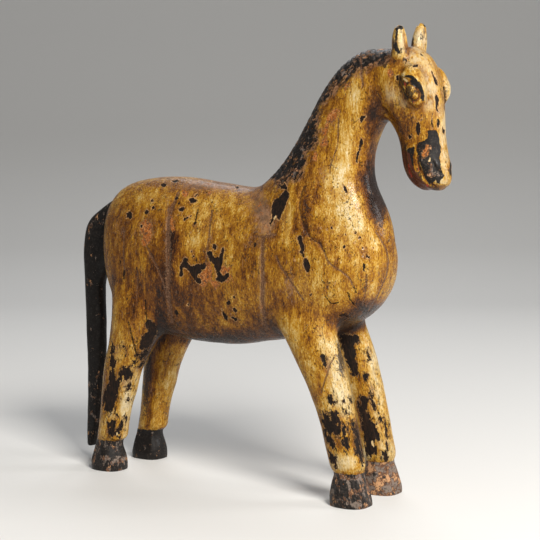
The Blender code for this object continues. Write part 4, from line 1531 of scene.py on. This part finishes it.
@dataclass(frozen=True)
class OchrePaintGroup:
    """Ochre paint under brown varnish, rubbed thin in streaks: from dark amber to cream."""

    stops: tuple[tuple[float, Point], ...] = (
        (0.0, (0.010, 0.004, 0.002)),
        (0.16, (0.040, 0.011, 0.0015)),
        (0.33, (0.125, 0.038, 0.002)),
        (0.50, (0.27, 0.105, 0.004)),
        (0.66, (0.45, 0.225, 0.014)),
        (0.83, (0.58, 0.385, 0.115)),
        (1.0, (0.71, 0.58, 0.35)),
    )
    pore: Point = (0.020, 0.009, 0.004)

    def build(self, grain: NodeTree) -> NodeTree:
        """Makes the group.

        Args:
            grain: The grain group.

        Returns:
            The group, with Place, Tone and Hollow inputs, and Colour, Roughness and Height outputs.
        """
        takes = {"Place": "Vector", "Tone": "Float", "Hollow": "Float"}
        net, come, end = group_tree("ochre_paint", takes, PAINT_GIVES)
        lines = net.use(grain, Place=come["Place"])
        cloud = net.noise(come["Place"], 0.05, 5, 0.62, along=0.7)
        patch = net.noise(come["Place"], 0.16, 5, 0.7, along=0.55)
        crumb = net.noise(come["Place"], 0.75, 4, 0.75, along=0.6)
        blot = net.noise(come["Place"], 0.11, 6, 0.78, along=0.65)
        share = net.total(
            # The tone input lightens and darkens the paint: its own tone, painted highlights and painted
            # shade.
            0.475,
            net.times(come["Tone"], 0.32),
            net.times(net.swing(cloud), 0.5),
            net.times(net.swing(patch), 0.5),
            net.ease(blot, 0.49, 0.53, -0.04, 0.035),
            net.ease(blot, 0.40, 0.43, -0.07, 0.0),
            net.times(net.swing(lines["Streak"]), 1.15),
            net.times(net.swing(crumb), 0.75),
            net.times(come["Hollow"], -0.2),
        )
        colour = net.ramp(share, self.stops)
        rubbed = net.times(net.ease(crumb, 0.60, 0.66), net.ease(patch, 0.42, 0.56))
        paler = net.ramp(net.total(share, 0.22), self.stops)
        colour = net.mix(net.times(rubbed, 0.55), colour, paler)
        pit = net.ease(net.cells(come["Place"], 0.2), 0.17, 0.10)
        pitted = net.times(pit, net.ease(net.noise(come["Place"], 0.035, 2), 0.46, 0.6))
        crack = self.crackle(net, come["Place"])
        speck = net.times(net.ease(crumb, 0.40, 0.34), net.ease(cloud, 0.62, 0.46))
        dots = net.most(pitted, lines["Pores"], crack, net.times(speck, 0.8))
        colour = net.mix(net.times(dots, 0.85), colour, self.pore)
        net.give(colour, end, "Colour")
        rough = net.total(
            net.ease(patch, 0.3, 0.75, 0.24, 0.50), net.times(come["Hollow"], 0.08), net.times(dots, 0.3)
        )
        net.give(rough, end, "Roughness")
        high = [net.times(feed, 0.5) for feed in (lines["Streak"], patch, crumb)]
        high = net.total(*high, net.times(dots, -0.35))
        net.give(high, end, "Height")
        return net.tree

    def crackle(self, net: Net, place: Feed) -> NodeSocket:
        """Thin dark cracks in the varnish, in patches.

        Args:
            net: The group's net.
            place: The place along the grain.

        Returns:
            The share that they cover.
        """
        feeds = {"Vector": place, "Scale": 0.25, "Detail": 3.0}
        sway = net.node("ShaderNodeTexNoise", feeds).outputs["Color"]
        feeds = {0: sway, 1: (6.0, 6.0, 6.0), 2: place}
        bent = net.node("ShaderNodeVectorMath", feeds, operation="MULTIPLY_ADD").outputs[0]
        feeds = {"Vector": net.stretch(bent, (1, 1, 0.55)), "Scale": 0.16}
        edge = net.node("ShaderNodeTexVoronoi", feeds, feature="DISTANCE_TO_EDGE").outputs["Distance"]
        patchy = net.ease(net.noise(place, 0.05, 3), 0.50, 0.60)
        broken = net.ease(net.noise(place, 0.4, 3), 0.44, 0.56)
        return net.times(net.ease(edge, 0.05, 0.02), patchy, broken)


@dataclass(frozen=True)
class BareWoodGroup:
    """Old dark bare wood with open upright grain."""

    dark: Point = (0.006, 0.004, 0.003)
    brown: Point = (0.040, 0.018, 0.009)

    def build(self) -> NodeTree:
        """Makes the group.

        Returns:
            The group, with a Place input, and Colour and Height outputs.
        """
        gives = {"Colour": "Color", "Height": "Float"}
        net, come, end = group_tree("bare_wood", {"Place": "Vector"}, gives)
        ridges = net.noise(net.stretch(come["Place"], (1.6, 1.6, 0.12)), 0.75, 3, 0.6)
        fleck = net.noise(come["Place"], 0.35, 4, 0.7)
        share = net.ease(net.between(0.4, ridges, fleck), 0.42, 0.70)
        net.give(net.mix(share, self.dark, self.brown), end, "Colour")
        net.give(net.times(ridges, 0.6), end, "Height")
        return net.tree


@dataclass(frozen=True)
class FinishGroups:
    """The shader groups that the finishes share."""

    grain: NodeTree
    torn: NodeTree
    black: NodeTree
    ochre: NodeTree
    bare: NodeTree

    @classmethod
    def build(cls) -> "FinishGroups":
        """Makes all of them."""
        grain = GrainGroup().build()
        black, ochre = BlackPaintGroup().build(grain), OchrePaintGroup().build(grain)
        return cls(grain, TornEdgeGroup().build(), black, ochre, BareWoodGroup().build())


def new_finish(name: str, coat_roughness: float, shine: float) -> tuple[Material, Net, Node]:
    """Starts a material.

    Args:
        name: Its name.
        coat_roughness: How rough its varnish is.
        shine: How strongly it reflects, 0.5 for plain paint.

    Returns:
        The material, the net to build in, and its shader.
    """
    material = bpy.data.materials.new(name)
    material.use_nodes = True
    shader = material.node_tree.nodes["Principled BSDF"]
    shader.inputs["Coat Roughness"].default_value = coat_roughness
    shader.inputs["Specular IOR Level"].default_value = shine
    return material, Net(material.node_tree), shader


@dataclass
class Coat:
    """A finish as far as it is laid, and the net that it is built in."""

    net: Net
    place: NodeSocket
    fine: NodeSocket
    colour: NodeSocket
    rough: NodeSocket
    high: NodeSocket

    def tint(self, share: Feed, colour: Feed) -> None:
        """Lays a colour over a share of it."""
        self.colour = self.net.mix(share, self.colour, colour)


@dataclass(frozen=True)
class PaintedWood:
    """The horse's finish: ochre and black paint, chips down to primer and wood, cracks, scuffs and dusty
    grime, with painted highlights, painted shade and painted sheen.
    """

    groups: FinishGroups
    primer: Point = (0.33, 0.092, 0.010)
    primer_pale: Point = (0.52, 0.24, 0.08)
    cream: Point = (0.70, 0.50, 0.24)
    # Cream for rubbed paint and for painted highlights on the legs and face.
    cream_rub_and_highlight: Point = (0.54, 0.42, 0.24)
    rim_tan: Point = (0.58, 0.32, 0.13)
    # Dark brown for stains, for painted shade and for the glue lines.
    stain: Point = (0.022, 0.010, 0.006)
    seam_brown: Point = (0.125, 0.055, 0.024)
    seam_pink: Point = (0.34, 0.19, 0.105)
    dust_and_sheen: Point = (0.17, 0.105, 0.062)
    mane_brown: Point = (0.060, 0.028, 0.014)
    mane_tan: Point = (0.30, 0.155, 0.08)
    red: Point = (0.30, 0.035, 0.015)
    lip: Point = (0.085, 0.022, 0.010)
    fold_dark: Point = (0.035, 0.014, 0.006)
    varnish: float = 0.15
    shine: float = 0.18
    leg_heights: Pixel = (175, 125)
    head_places: Pixel = (332, 352)
    mane_slant: float = -0.8

    def build(self) -> Material:
        """Makes the material.

        Returns:
            The material.
        """
        material, net, shader = new_finish("worn_ochre_paint", self.varnish, self.shine)
        place = net.kept(Layer.GRAIN, "Vector")
        fine = net.noise(place, 0.8, 4, 0.7)
        tone, hollow = net.kept(Layer.TONE_AND_LIGHT), net.kept(Layer.HOLLOW)
        base = net.use(self.groups.ochre, Place=place, Tone=tone, Hollow=hollow)
        coat = Coat(net, place, fine, base["Colour"], base["Roughness"], base["Height"])
        spot = net.node("ShaderNodeSeparateXYZ", {0: place})
        legs = net.ease(spot.outputs[2], *self.leg_heights)
        head = net.total(spot.outputs[0], net.times(spot.outputs[2], 0.5))
        self.rub_and_highlight(coat, legs, net.ease(head, *self.head_places))
        self.scuff(coat)
        self.soil_and_shade(coat)
        black = self.blacken(coat)
        seam = self.glue(coat)
        gone = self.chip(coat, legs)
        self.touch(coat)
        high = net.total(coat.high, net.times(seam, -0.2), net.times(fine, 0.1))
        bump = net.node("ShaderNodeBump", {"Height": high, "Distance": 1.5 * MM, "Strength": 1.0})
        net.give(bump.outputs[0], shader, "Normal")
        net.give(coat.colour, shader, "Base Color")
        net.give(coat.rough, shader, "Roughness")
        dull = net.rest(net.times(black, 0.6))
        glaze = net.times(net.rest(gone), dull, net.ease(fine, 0.45, 0.6, 0.04, 0.36))
        net.give(glaze, shader, "Coat Weight")
        return material

    def rub_and_highlight(self, coat: Coat, legs: NodeSocket, head: NodeSocket) -> None:
        """Rubs the light parts paler, most of all on the legs and the face; where they are painted
        highlights, this cream is painted highlight too.

        Args:
            coat: The finish so far.
            legs: The share that is leg.
            head: The share that is head.
        """
        net = coat.net
        parts = net.total(0.08, net.times(legs, 0.42), net.times(head, 0.75))
        patchy = net.ease(net.noise(coat.place, 0.2, 5, 0.7, along=0.5), 0.36, 0.6)
        light = net.ease(net.kept(Layer.TONE_AND_LIGHT), 0.15, 0.6)
        coat.tint(net.times(light, parts, patchy), self.cream_rub_and_highlight)

    def scuff(self, coat: Coat) -> None:
        """Adds grey-brown scuffs, fine scratches and dusty grime, with a painted grey sheen on faces that
        point up.

        Args:
            coat: The finish so far.
        """
        net, place = coat.net, coat.place
        cloud = net.between(0.5, net.noise(place, 0.28, 5, 0.7, along=0.6), coat.fine)
        share = net.ease(net.total(cloud, net.times(net.kept(Layer.SCUFF_AND_SHEEN), 0.28)), 0.56, 0.74)
        hairs = net.ease(net.noise(place, 0.7, 2, 0.5, along=0.07), 0.66, 0.70)
        hairs = net.times(hairs, net.ease(net.noise(place, 0.05, 2), 0.46, 0.56))
        coat.tint(net.times(hairs, 0.6), self.seam_pink)
        dirt_and_sheen = net.mix(net.ease(net.noise(place, 0.1, 3), 0.4, 0.6), self.dust_and_sheen, self.seam_pink)
        coat.tint(net.times(share, 0.7), dirt_and_sheen)
        coat.rough = net.between(share, coat.rough, 0.62)

    def soil_and_shade(self, coat: Coat) -> None:
        """Adds dark stains, and painted shade under the throat, chest and belly and between the legs.

        Args:
            coat: The finish so far.
        """
        net = coat.net
        stain_and_shade_share = net.noise(coat.place, 0.4, 5, 0.72, along=0.7)
        stain_and_shade_share = net.total(stain_and_shade_share, net.times(net.kept(Layer.STAIN_AND_SHADE), 0.36))
        coat.tint(net.ease(stain_and_shade_share, 0.66, 0.73, 0.0, 0.88), self.stain)

    def blacken(self, coat: Coat) -> NodeSocket:
        """Adds the black mane, nose, lids, ear tips and hooves.

        Args:
            coat: The finish so far.

        Returns:
            The share that is black.
        """
        net, place, torn = coat.net, coat.place, self.groups.torn
        mane, depth = net.kept(Layer.MANE), net.kept(Layer.BLACK)
        feeds = {"Vector": place, "Angle": self.mane_slant}
        slant = net.node("ShaderNodeVectorRotate", feeds, rotation_type="Y_AXIS").outputs[0]
        swing = net.times(net.swing(net.noise(slant, 0.2, 5, 0.7, along=0.4)), 34)
        streaks = net.ease(net.total(net.math("MINIMUM", mane, 7.0), swing), 4.0, 5.0)
        bed = net.ease(net.total(mane, net.times(swing, 0.6)), -2.0, 3.0, 0.0, 0.85)
        rubbed = net.ease(net.noise(slant, 0.22, 4, 0.75), 0.47, 0.55)
        coat.tint(bed, net.mix(rubbed, self.mane_brown, self.mane_tan))
        edge = net.use(torn, Place=place, Depth=depth, Tear=0.7)
        nose = net.times(edge["Mask"], net.ease(net.noise(place, 0.4, 4, 0.7), 0.72, 0.64))
        hoof = net.use(torn, Place=place, Depth=net.kept(Layer.HOOF), Tear=0.5)
        whole = net.most(streaks, nose, hoof["Mask"])
        wear = net.most(
            net.times(hoof["Mask"], net.kept(Layer.HOOF_WEAR)),
            net.times(net.ease(mane, 2, 8), 0.35),
            net.ease(depth, 1, 4, 0.0, 0.32),
        )
        black = net.use(self.groups.black, Place=place, Wear=wear)
        coat.tint(whole, black["Colour"])
        coat.rough = net.between(whole, coat.rough, black["Roughness"])
        coat.high = net.between(whole, coat.high, black["Height"])
        return whole

    def glue(self, coat: Coat) -> NodeSocket:
        """Adds the old glue lines and the fold at the shoulder.

        Args:
            coat: The finish so far.

        Returns:
            The share that is glue line.
        """
        net, fine = coat.net, coat.fine
        seam = self.line(coat, Layer.SEAM, 0.8)
        stripe = net.mix(net.ease(fine, 0.56, 0.64), self.seam_brown, self.seam_pink)
        stripe = net.mix(net.ease(fine, 0.46, 0.38), stripe, self.stain)
        coat.tint(net.times(seam, 0.85), stripe)
        coat.tint(net.times(self.line(coat, Layer.FOLD, 1.0), 0.8), self.fold_dark)
        return seam

    def chip(self, coat: Coat, legs: NodeSocket) -> NodeSocket:
        """Takes the paint off down to primer and to wood, with pale rims.

        Args:
            coat: The finish so far.
            legs: The share that is leg, where edges are more torn and flecks lie round the chips.

        Returns:
            The share that is bare wood.
        """
        net, place, torn = coat.net, coat.place, self.groups.torn
        depth = net.kept(Layer.BARE)
        bare = net.use(torn, Place=place, Depth=depth, Tear=net.between(legs, 0.95, 3.3))
        primer = net.use(torn, Place=place, Depth=net.kept(Layer.PRIMER), Tear=2.2)
        tiny = net.use(torn, Place=place, Depth=self.stray_chips(coat), Tear=1.0)
        under = net.mix(net.ease(coat.fine, 0.5, 0.58), self.primer, self.primer_pale)
        under = net.mix(net.ease(net.noise(place, 0.35, 4, 0.75), 0.52, 0.56), under, self.seam_brown)
        fleck = net.noise(place, 0.26, 5, 0.75, along=0.7)
        fleck = net.total(fleck, net.times(net.kept(Layer.SCUFF_AND_SHEEN), 0.07))
        coat.tint(net.most(primer["Mask"], net.ease(fleck, 0.66, 0.675)), under)
        rim = net.times(bare["Rim"], net.ease(net.noise(place, 0.14, 2), 0.36, 0.5))
        rim = net.most(rim, net.times(primer["Rim"], 0.3))
        coat.tint(net.times(rim, 0.75), self.rim_tan)
        specks = net.noise(place, 0.42, 5, 0.75, along=0.4)
        specks = net.total(specks, net.ease(depth, -9.0, -1.0, 0.0, 0.07))
        specks = net.times(legs, net.ease(specks, 0.635, 0.66))
        gone = net.most(bare["Mask"], tiny["Mask"], self.line(coat, Layer.CRACK, 0.6), specks)
        wood = net.use(self.groups.bare, Place=place)
        coat.tint(gone, wood["Colour"])
        coat.rough = net.between(net.most(gone, net.times(primer["Mask"], 0.8)), coat.rough, 0.72)
        coat.high = net.total(
            net.times(coat.high, net.rest(gone)),
            net.times(gone, wood["Height"]),
            net.times(gone, -0.55),
            net.times(primer["Mask"], -0.2),
            net.times(rim, 0.12),
        )
        return gone

    def touch(self, coat: Coat) -> None:
        """Adds the lip's brown, small cream chips and the traces of red.

        Args:
            coat: The finish so far.
        """
        net, place, torn = coat.net, coat.place, self.groups.torn
        lip = net.use(torn, Place=place, Depth=net.kept(Layer.LIP), Tear=0.8)
        part = net.times(lip["Mask"], net.ease(net.noise(place, 0.5, 4, 0.65), 0.86, 0.62))
        coat.tint(net.times(part, 0.92), self.lip)
        for layer, tear, colour in ((Layer.CREAM, 0.4, self.cream), (Layer.RED, 0.3, self.red)):
            mark = net.use(torn, Place=place, Depth=net.kept(layer), Tear=tear)
            coat.tint(mark["Mask"], colour)

    def stray_chips(self, coat: Coat) -> NodeSocket:
        """Small chips that no outline gives, scattered in patches.

        Args:
            coat: The finish so far.

        Returns:
            The depth inside them, in millimetres.
        """
        net = coat.net
        spots = net.cells(net.stretch(coat.place, (1, 1, 0.6)), 0.085)
        patchy = net.ease(net.noise(coat.place, 0.022, 2), 0.50, 0.66, 1.9, -0.4)
        return net.total(1.6, net.times(spots, -11.0), net.times(patchy, -1.0))

    def line(self, coat: Coat, layer: Layer, wander: float) -> NodeSocket:
        """A drawn line with an uneven edge.

        Args:
            coat: The finish so far.
            layer: The depth inside the line.
            wander: How uneven its edge is, in millimetres.

        Returns:
            The share that the line covers.
        """
        net = coat.net
        waver = net.times(net.swing(net.noise(coat.place, 0.6, 4, 0.65)), wander * 3)
        return net.ease(net.total(net.kept(layer), waver), -0.5, 0.35)


@dataclass(frozen=True)
class BlackPaintedWood:
    """The tail's finish: black paint, worn brown low down and dusty at the top."""

    groups: FinishGroups
    varnish: float = 0.3
    shine: float = 0.15

    def build(self) -> Material:
        """Makes the material.

        Returns:
            The material.
        """
        material, net, shader = new_finish("worn_black_paint", self.varnish, self.shine)
        spot = net.node("ShaderNodeTexCoord").outputs["Object"]
        place = net.node("ShaderNodeVectorMath", {0: spot, 3: 1 / MM}, operation="SCALE").outputs[0]
        coat = net.use(self.groups.black, Place=place, Wear=net.kept(Layer.WEAR))
        net.give(coat["Colour"], shader, "Base Color")
        net.give(coat["Roughness"], shader, "Roughness")
        bump = net.node("ShaderNodeBump", {"Height": coat["Height"], "Distance": MM, "Strength": 0.8})
        net.give(bump.outputs[0], shader, "Normal")
        net.give(net.ease(net.noise(place, 0.2, 2), 0.4, 0.6, 0.0, 0.1), shader, "Coat Weight")
        return material


def form_tree(name: str, takes: dict[str, tuple[str, float]]) -> tuple[Net, Node, Node]:
    """Starts a geometry tree that takes and gives a mesh.

    Args:
        name: The tree's name.
        takes: Its other inputs' names, kinds and values.

    Returns:
        The net to build in, and the nodes of its inputs and outputs.
    """
    tree = bpy.data.node_groups.new(name, "GeometryNodeTree")
    tree.interface.new_socket("Geometry", in_out="INPUT", socket_type="NodeSocketGeometry")
    tree.interface.new_socket("Finish", in_out="INPUT", socket_type="NodeSocketMaterial")
    for title, (kind, value) in takes.items():
        socket = tree.interface.new_socket(title, in_out="INPUT", socket_type=f"NodeSocket{kind}")
        socket.default_value = value
    tree.interface.new_socket("Geometry", in_out="OUTPUT", socket_type="NodeSocketGeometry")
    return Net(tree), tree.nodes.new("NodeGroupInput"), tree.nodes.new("NodeGroupOutput")


def dressed(net: Net, made: NodeSocket, come: Node) -> NodeSocket:
    """Turns what a geometry tree made into plain faces with its finish.

    Args:
        net: The net to build in.
        made: What it made.
        come: The node of its inputs.

    Returns:
        The finished geometry.
    """
    plain = net.node("GeometryNodeRealizeInstances", {0: made})
    feeds = {"Geometry": plain.outputs[0], "Material": come.outputs["Finish"]}
    return net.node("GeometryNodeSetMaterial", feeds).outputs[0]


def grow(piece: Object, tree: NodeTree, values: dict[str, object]) -> Mesh:
    """Runs a geometry tree on a piece and keeps what it makes as the piece's plain mesh.

    Args:
        piece: The piece.
        tree: The geometry tree.
        values: The tree's inputs by name.

    Returns:
        The new mesh.
    """
    worker = piece.modifiers.new(tree.name, "NODES")
    worker.node_group = tree
    sockets = {item.name: item.identifier for item in tree.interface.items_tree if item.in_out == "INPUT"}
    for name, value in values.items():
        worker[sockets[name]] = value
    piece.update_tag()
    return baked(piece)


@dataclass(frozen=True)
class ToolMarks:
    """Shallow flats that the carver's blade left, cut a little way into a piece."""

    depth: float = 0.0008
    scale: float = 90.0
    seed: float = 4.0

    def tree(self) -> NodeTree:
        """Makes the geometry tree.

        Returns:
            The tree.
        """
        values = {"Depth": self.depth, "Scale": self.scale, "Seed": self.seed}
        takes = {name: ("Float", value) for name, value in values.items()}
        net, come, end = form_tree("tool_marks", takes)
        place = net.node("GeometryNodeInputPosition").outputs[0]
        normal = net.node("GeometryNodeInputNormal").outputs[0]
        long = net.stretch(place, (1.0, 1.0, 0.55))
        feeds = {"Vector": long, "W": come.outputs["Seed"], "Scale": come.outputs["Scale"], "Detail": 1.0}
        cloud = net.node("ShaderNodeTexNoise", feeds, noise_dimensions="4D").outputs[0]
        height = net.node("ShaderNodeSeparateXYZ", {0: place}).outputs[2]
        feeds = {"Value": height, "From Min": MM, "From Max": 4 * MM}
        feet = net.node("ShaderNodeMapRange", feeds).outputs[0]
        deep = net.times(net.math("SUBTRACT", cloud, 0.85), come.outputs["Depth"], feet)
        offset = net.node("ShaderNodeVectorMath", {0: normal, 3: deep}, operation="SCALE").outputs[0]
        feeds = {"Geometry": come.outputs["Geometry"], "Offset": offset}
        moved = net.node("GeometryNodeSetPosition", feeds)
        net.give(dressed(net, moved.outputs[0], come), end, 0)
        return net.tree

    def cut(self, piece: Object, tree: NodeTree, finish: Material) -> None:
        """Cuts the marks into a piece.

        Args:
            piece: The piece.
            tree: The tree that this class made.
            finish: The piece's material.
        """
        values = {"Finish": finish, "Depth": self.depth, "Scale": self.scale, "Seed": self.seed}
        shade_smooth(grow(piece, tree, values))


@dataclass(frozen=True)
class PaintFlakes:
    """Small flakes of paint that stand up along the chips' rims and the cracks."""

    density: float = 60000.0
    smallest: float = 0.00035
    largest: float = 0.0010
    seed: int = 11

    def tree(self) -> NodeTree:
        """Makes the geometry tree.

        Returns:
            The tree.
        """
        takes = {"Density": ("Float", self.density), "Seed": ("Int", self.seed)}
        net, come, end = form_tree("paint_flakes", takes)
        feeds = {"Name": Layer.FLAKING.value}
        share = net.node("GeometryNodeInputNamedAttribute", feeds, data_type="FLOAT").outputs[0]
        dense = net.times(share, come.outputs["Density"])
        feeds = {"Mesh": come.outputs["Geometry"], "Density": dense, "Seed": come.outputs["Seed"]}
        strewn = net.node("GeometryNodeDistributePointsOnFaces", feeds, distribute_method="RANDOM")
        flake = net.node("GeometryNodeMeshIcoSphere", {"Radius": 1.0, "Subdivisions": 1})
        flat = net.node("GeometryNodeTransform", {"Geometry": flake.outputs[0], "Scale": (1.0, 0.62, 0.2)})
        feeds = {2: self.smallest, 3: self.largest, "Seed": self.seed}
        size = net.node("FunctionNodeRandomValue", feeds, data_type="FLOAT")
        feeds = {2: 0.0, 3: 6.28, "Seed": self.seed + 1}
        turn = net.node("FunctionNodeRandomValue", feeds, data_type="FLOAT")
        spin = net.node("ShaderNodeCombineXYZ", {"X": 0.22, "Y": 0.1, "Z": turn.outputs[1]})
        feeds = {0: strewn.outputs["Rotation"], 1: spin.outputs[0]}
        lie = net.node("FunctionNodeRotateRotation", feeds, rotation_space="LOCAL")
        feeds = {
            "Points": strewn.outputs[0],
            "Instance": flat.outputs[0],
            "Rotation": lie.outputs[0],
            "Scale": size.outputs[1],
        }
        laid = net.node("GeometryNodeInstanceOnPoints", feeds)
        net.give(dressed(net, laid.outputs[0], come), end, 0)
        return net.tree

    def build(self, horse: Object, finish: Material) -> Object:
        """Strews the flakes over the horse.

        Args:
            horse: The horse, with its chips.
            finish: The flakes' material.

        Returns:
            All flakes as one piece.
        """
        piece = new_piece("lifted_paint_flakes", horse.data.copy())
        grow(piece, self.tree(), {"Finish": finish, "Density": self.density, "Seed": self.seed})
        return piece


@dataclass(frozen=True)
class Lamp:
    """A soft square studio light."""

    name: str
    place: Point
    width: float
    watts: float
    colour: Point = (1.0, 1.0, 1.0)

    def build(self, aim: Point) -> Object:
        """Sets the light up.

        Args:
            aim: The point that it shines at.

        Returns:
            The light.
        """
        light = bpy.data.lights.new(self.name, "AREA")
        light.shape = "SQUARE"
        light.size = self.width
        light.energy = self.watts
        light.color = self.colour
        lamp = bpy.data.objects.new(self.name, light)
        bpy.context.scene.collection.objects.link(lamp)
        lamp.location = self.place
        lamp.rotation_mode = "QUATERNION"
        lamp.rotation_quaternion = (Vector(self.place) - Vector(aim)).to_track_quat("Z", "Y")
        return lamp


@dataclass
class Studio:
    """A plain pale floor, soft lights and the pale air round them."""

    floor_size: float = 12.0
    sweep_start: float = 1.6
    sweep: float = 2.2
    floor_colour: Point = (0.72, 0.71, 0.69)
    air_colour: Point = (0.80, 0.82, 0.85)
    air_strength: float = 0.24
    aim: Point = (0.02, 0.0, 0.22)
    lamps: tuple[Lamp, ...] = (
        Lamp("key_light", (1.45, -0.95, 1.5), 0.7, 60.0, (1.0, 0.97, 0.92)),
        Lamp("side_light", (1.6, 0.9, 0.9), 0.8, 14.0),
        Lamp("back_light", (-0.9, 1.2, 1.7), 0.9, 12.0, (0.93, 0.96, 1.0)),
    )

    def build(self) -> Object:
        """Sets the studio up.

        Returns:
            The floor.
        """
        back, right, _ = VIEW.axes()
        away = -np.array((back[0], back[1], 0)) / math.hypot(back[0], back[1])
        bends = [math.radians(15 * k) for k in range(7)]
        half = self.floor_size / 2
        start, sweep = self.sweep_start, self.sweep
        rise = [(start + sweep * math.sin(bend), sweep * (1 - math.cos(bend))) for bend in bends]
        profile = [(-half, 0.0), *rise, (start + sweep, half)]
        middles = [away * far + np.array((0, 0, up)) for far, up in profile]
        rows = [[middle + right * side for side in (-half, half)] for middle in middles]
        mesh = bpy.data.meshes.new("studio_floor")
        faces = [(2 * k, 2 * k + 1, 2 * k + 3, 2 * k + 2) for k in range(len(rows) - 1)]
        mesh.from_pydata([tuple(point) for row in rows for point in row], [], faces)
        mesh.update()
        shade_smooth(mesh)
        floor = new_piece("studio_floor", mesh)
        paper = bpy.data.materials.new("studio_paper")
        paper.use_nodes = True
        shader = paper.node_tree.nodes["Principled BSDF"]
        shader.inputs["Base Color"].default_value = (*self.floor_colour, 1)
        shader.inputs["Roughness"].default_value = 0.8
        mesh.materials.append(paper)
        for lamp in self.lamps:
            lamp.build(self.aim)
        air = bpy.data.worlds.new("studio_air")
        air.use_nodes = True
        sky = air.node_tree.nodes["Background"]
        sky.inputs["Color"].default_value = (*self.air_colour, 1)
        sky.inputs["Strength"].default_value = self.air_strength
        bpy.context.scene.world = air
        bpy.context.scene.view_settings.view_transform = "Standard"
        return floor


def main() -> None:
    """Builds each piece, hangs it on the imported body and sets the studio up."""
    logging.basicConfig(level=logging.INFO, format="%(name)s: %(message)s")
    VIEW.place_camera()
    Studio().build()
    groups = FinishGroups.build()
    painted = PaintedWood(groups).build()
    blacked = BlackPaintedWood(groups).build()
    marks = ToolMarks()
    tree = marks.tree()
    horse = HorseSkin().build()
    marks.cut(horse, tree, painted)
    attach(horse, "root")
    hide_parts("horse")
    LOG.info("%s has %d faces", horse.name, len(horse.data.polygons))
    flakes = PaintFlakes().build(horse, painted)
    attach(flakes, "root")
    LOG.info("%s has %d faces", flakes.name, len(flakes.data.polygons))
    tail = TailSkin().build()
    marks.cut(tail, tree, blacked)
    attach(tail, "root")
    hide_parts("tail")
    LOG.info("%s has %d faces", tail.name, len(tail.data.polygons))


if __name__ == "__main__":
    main()
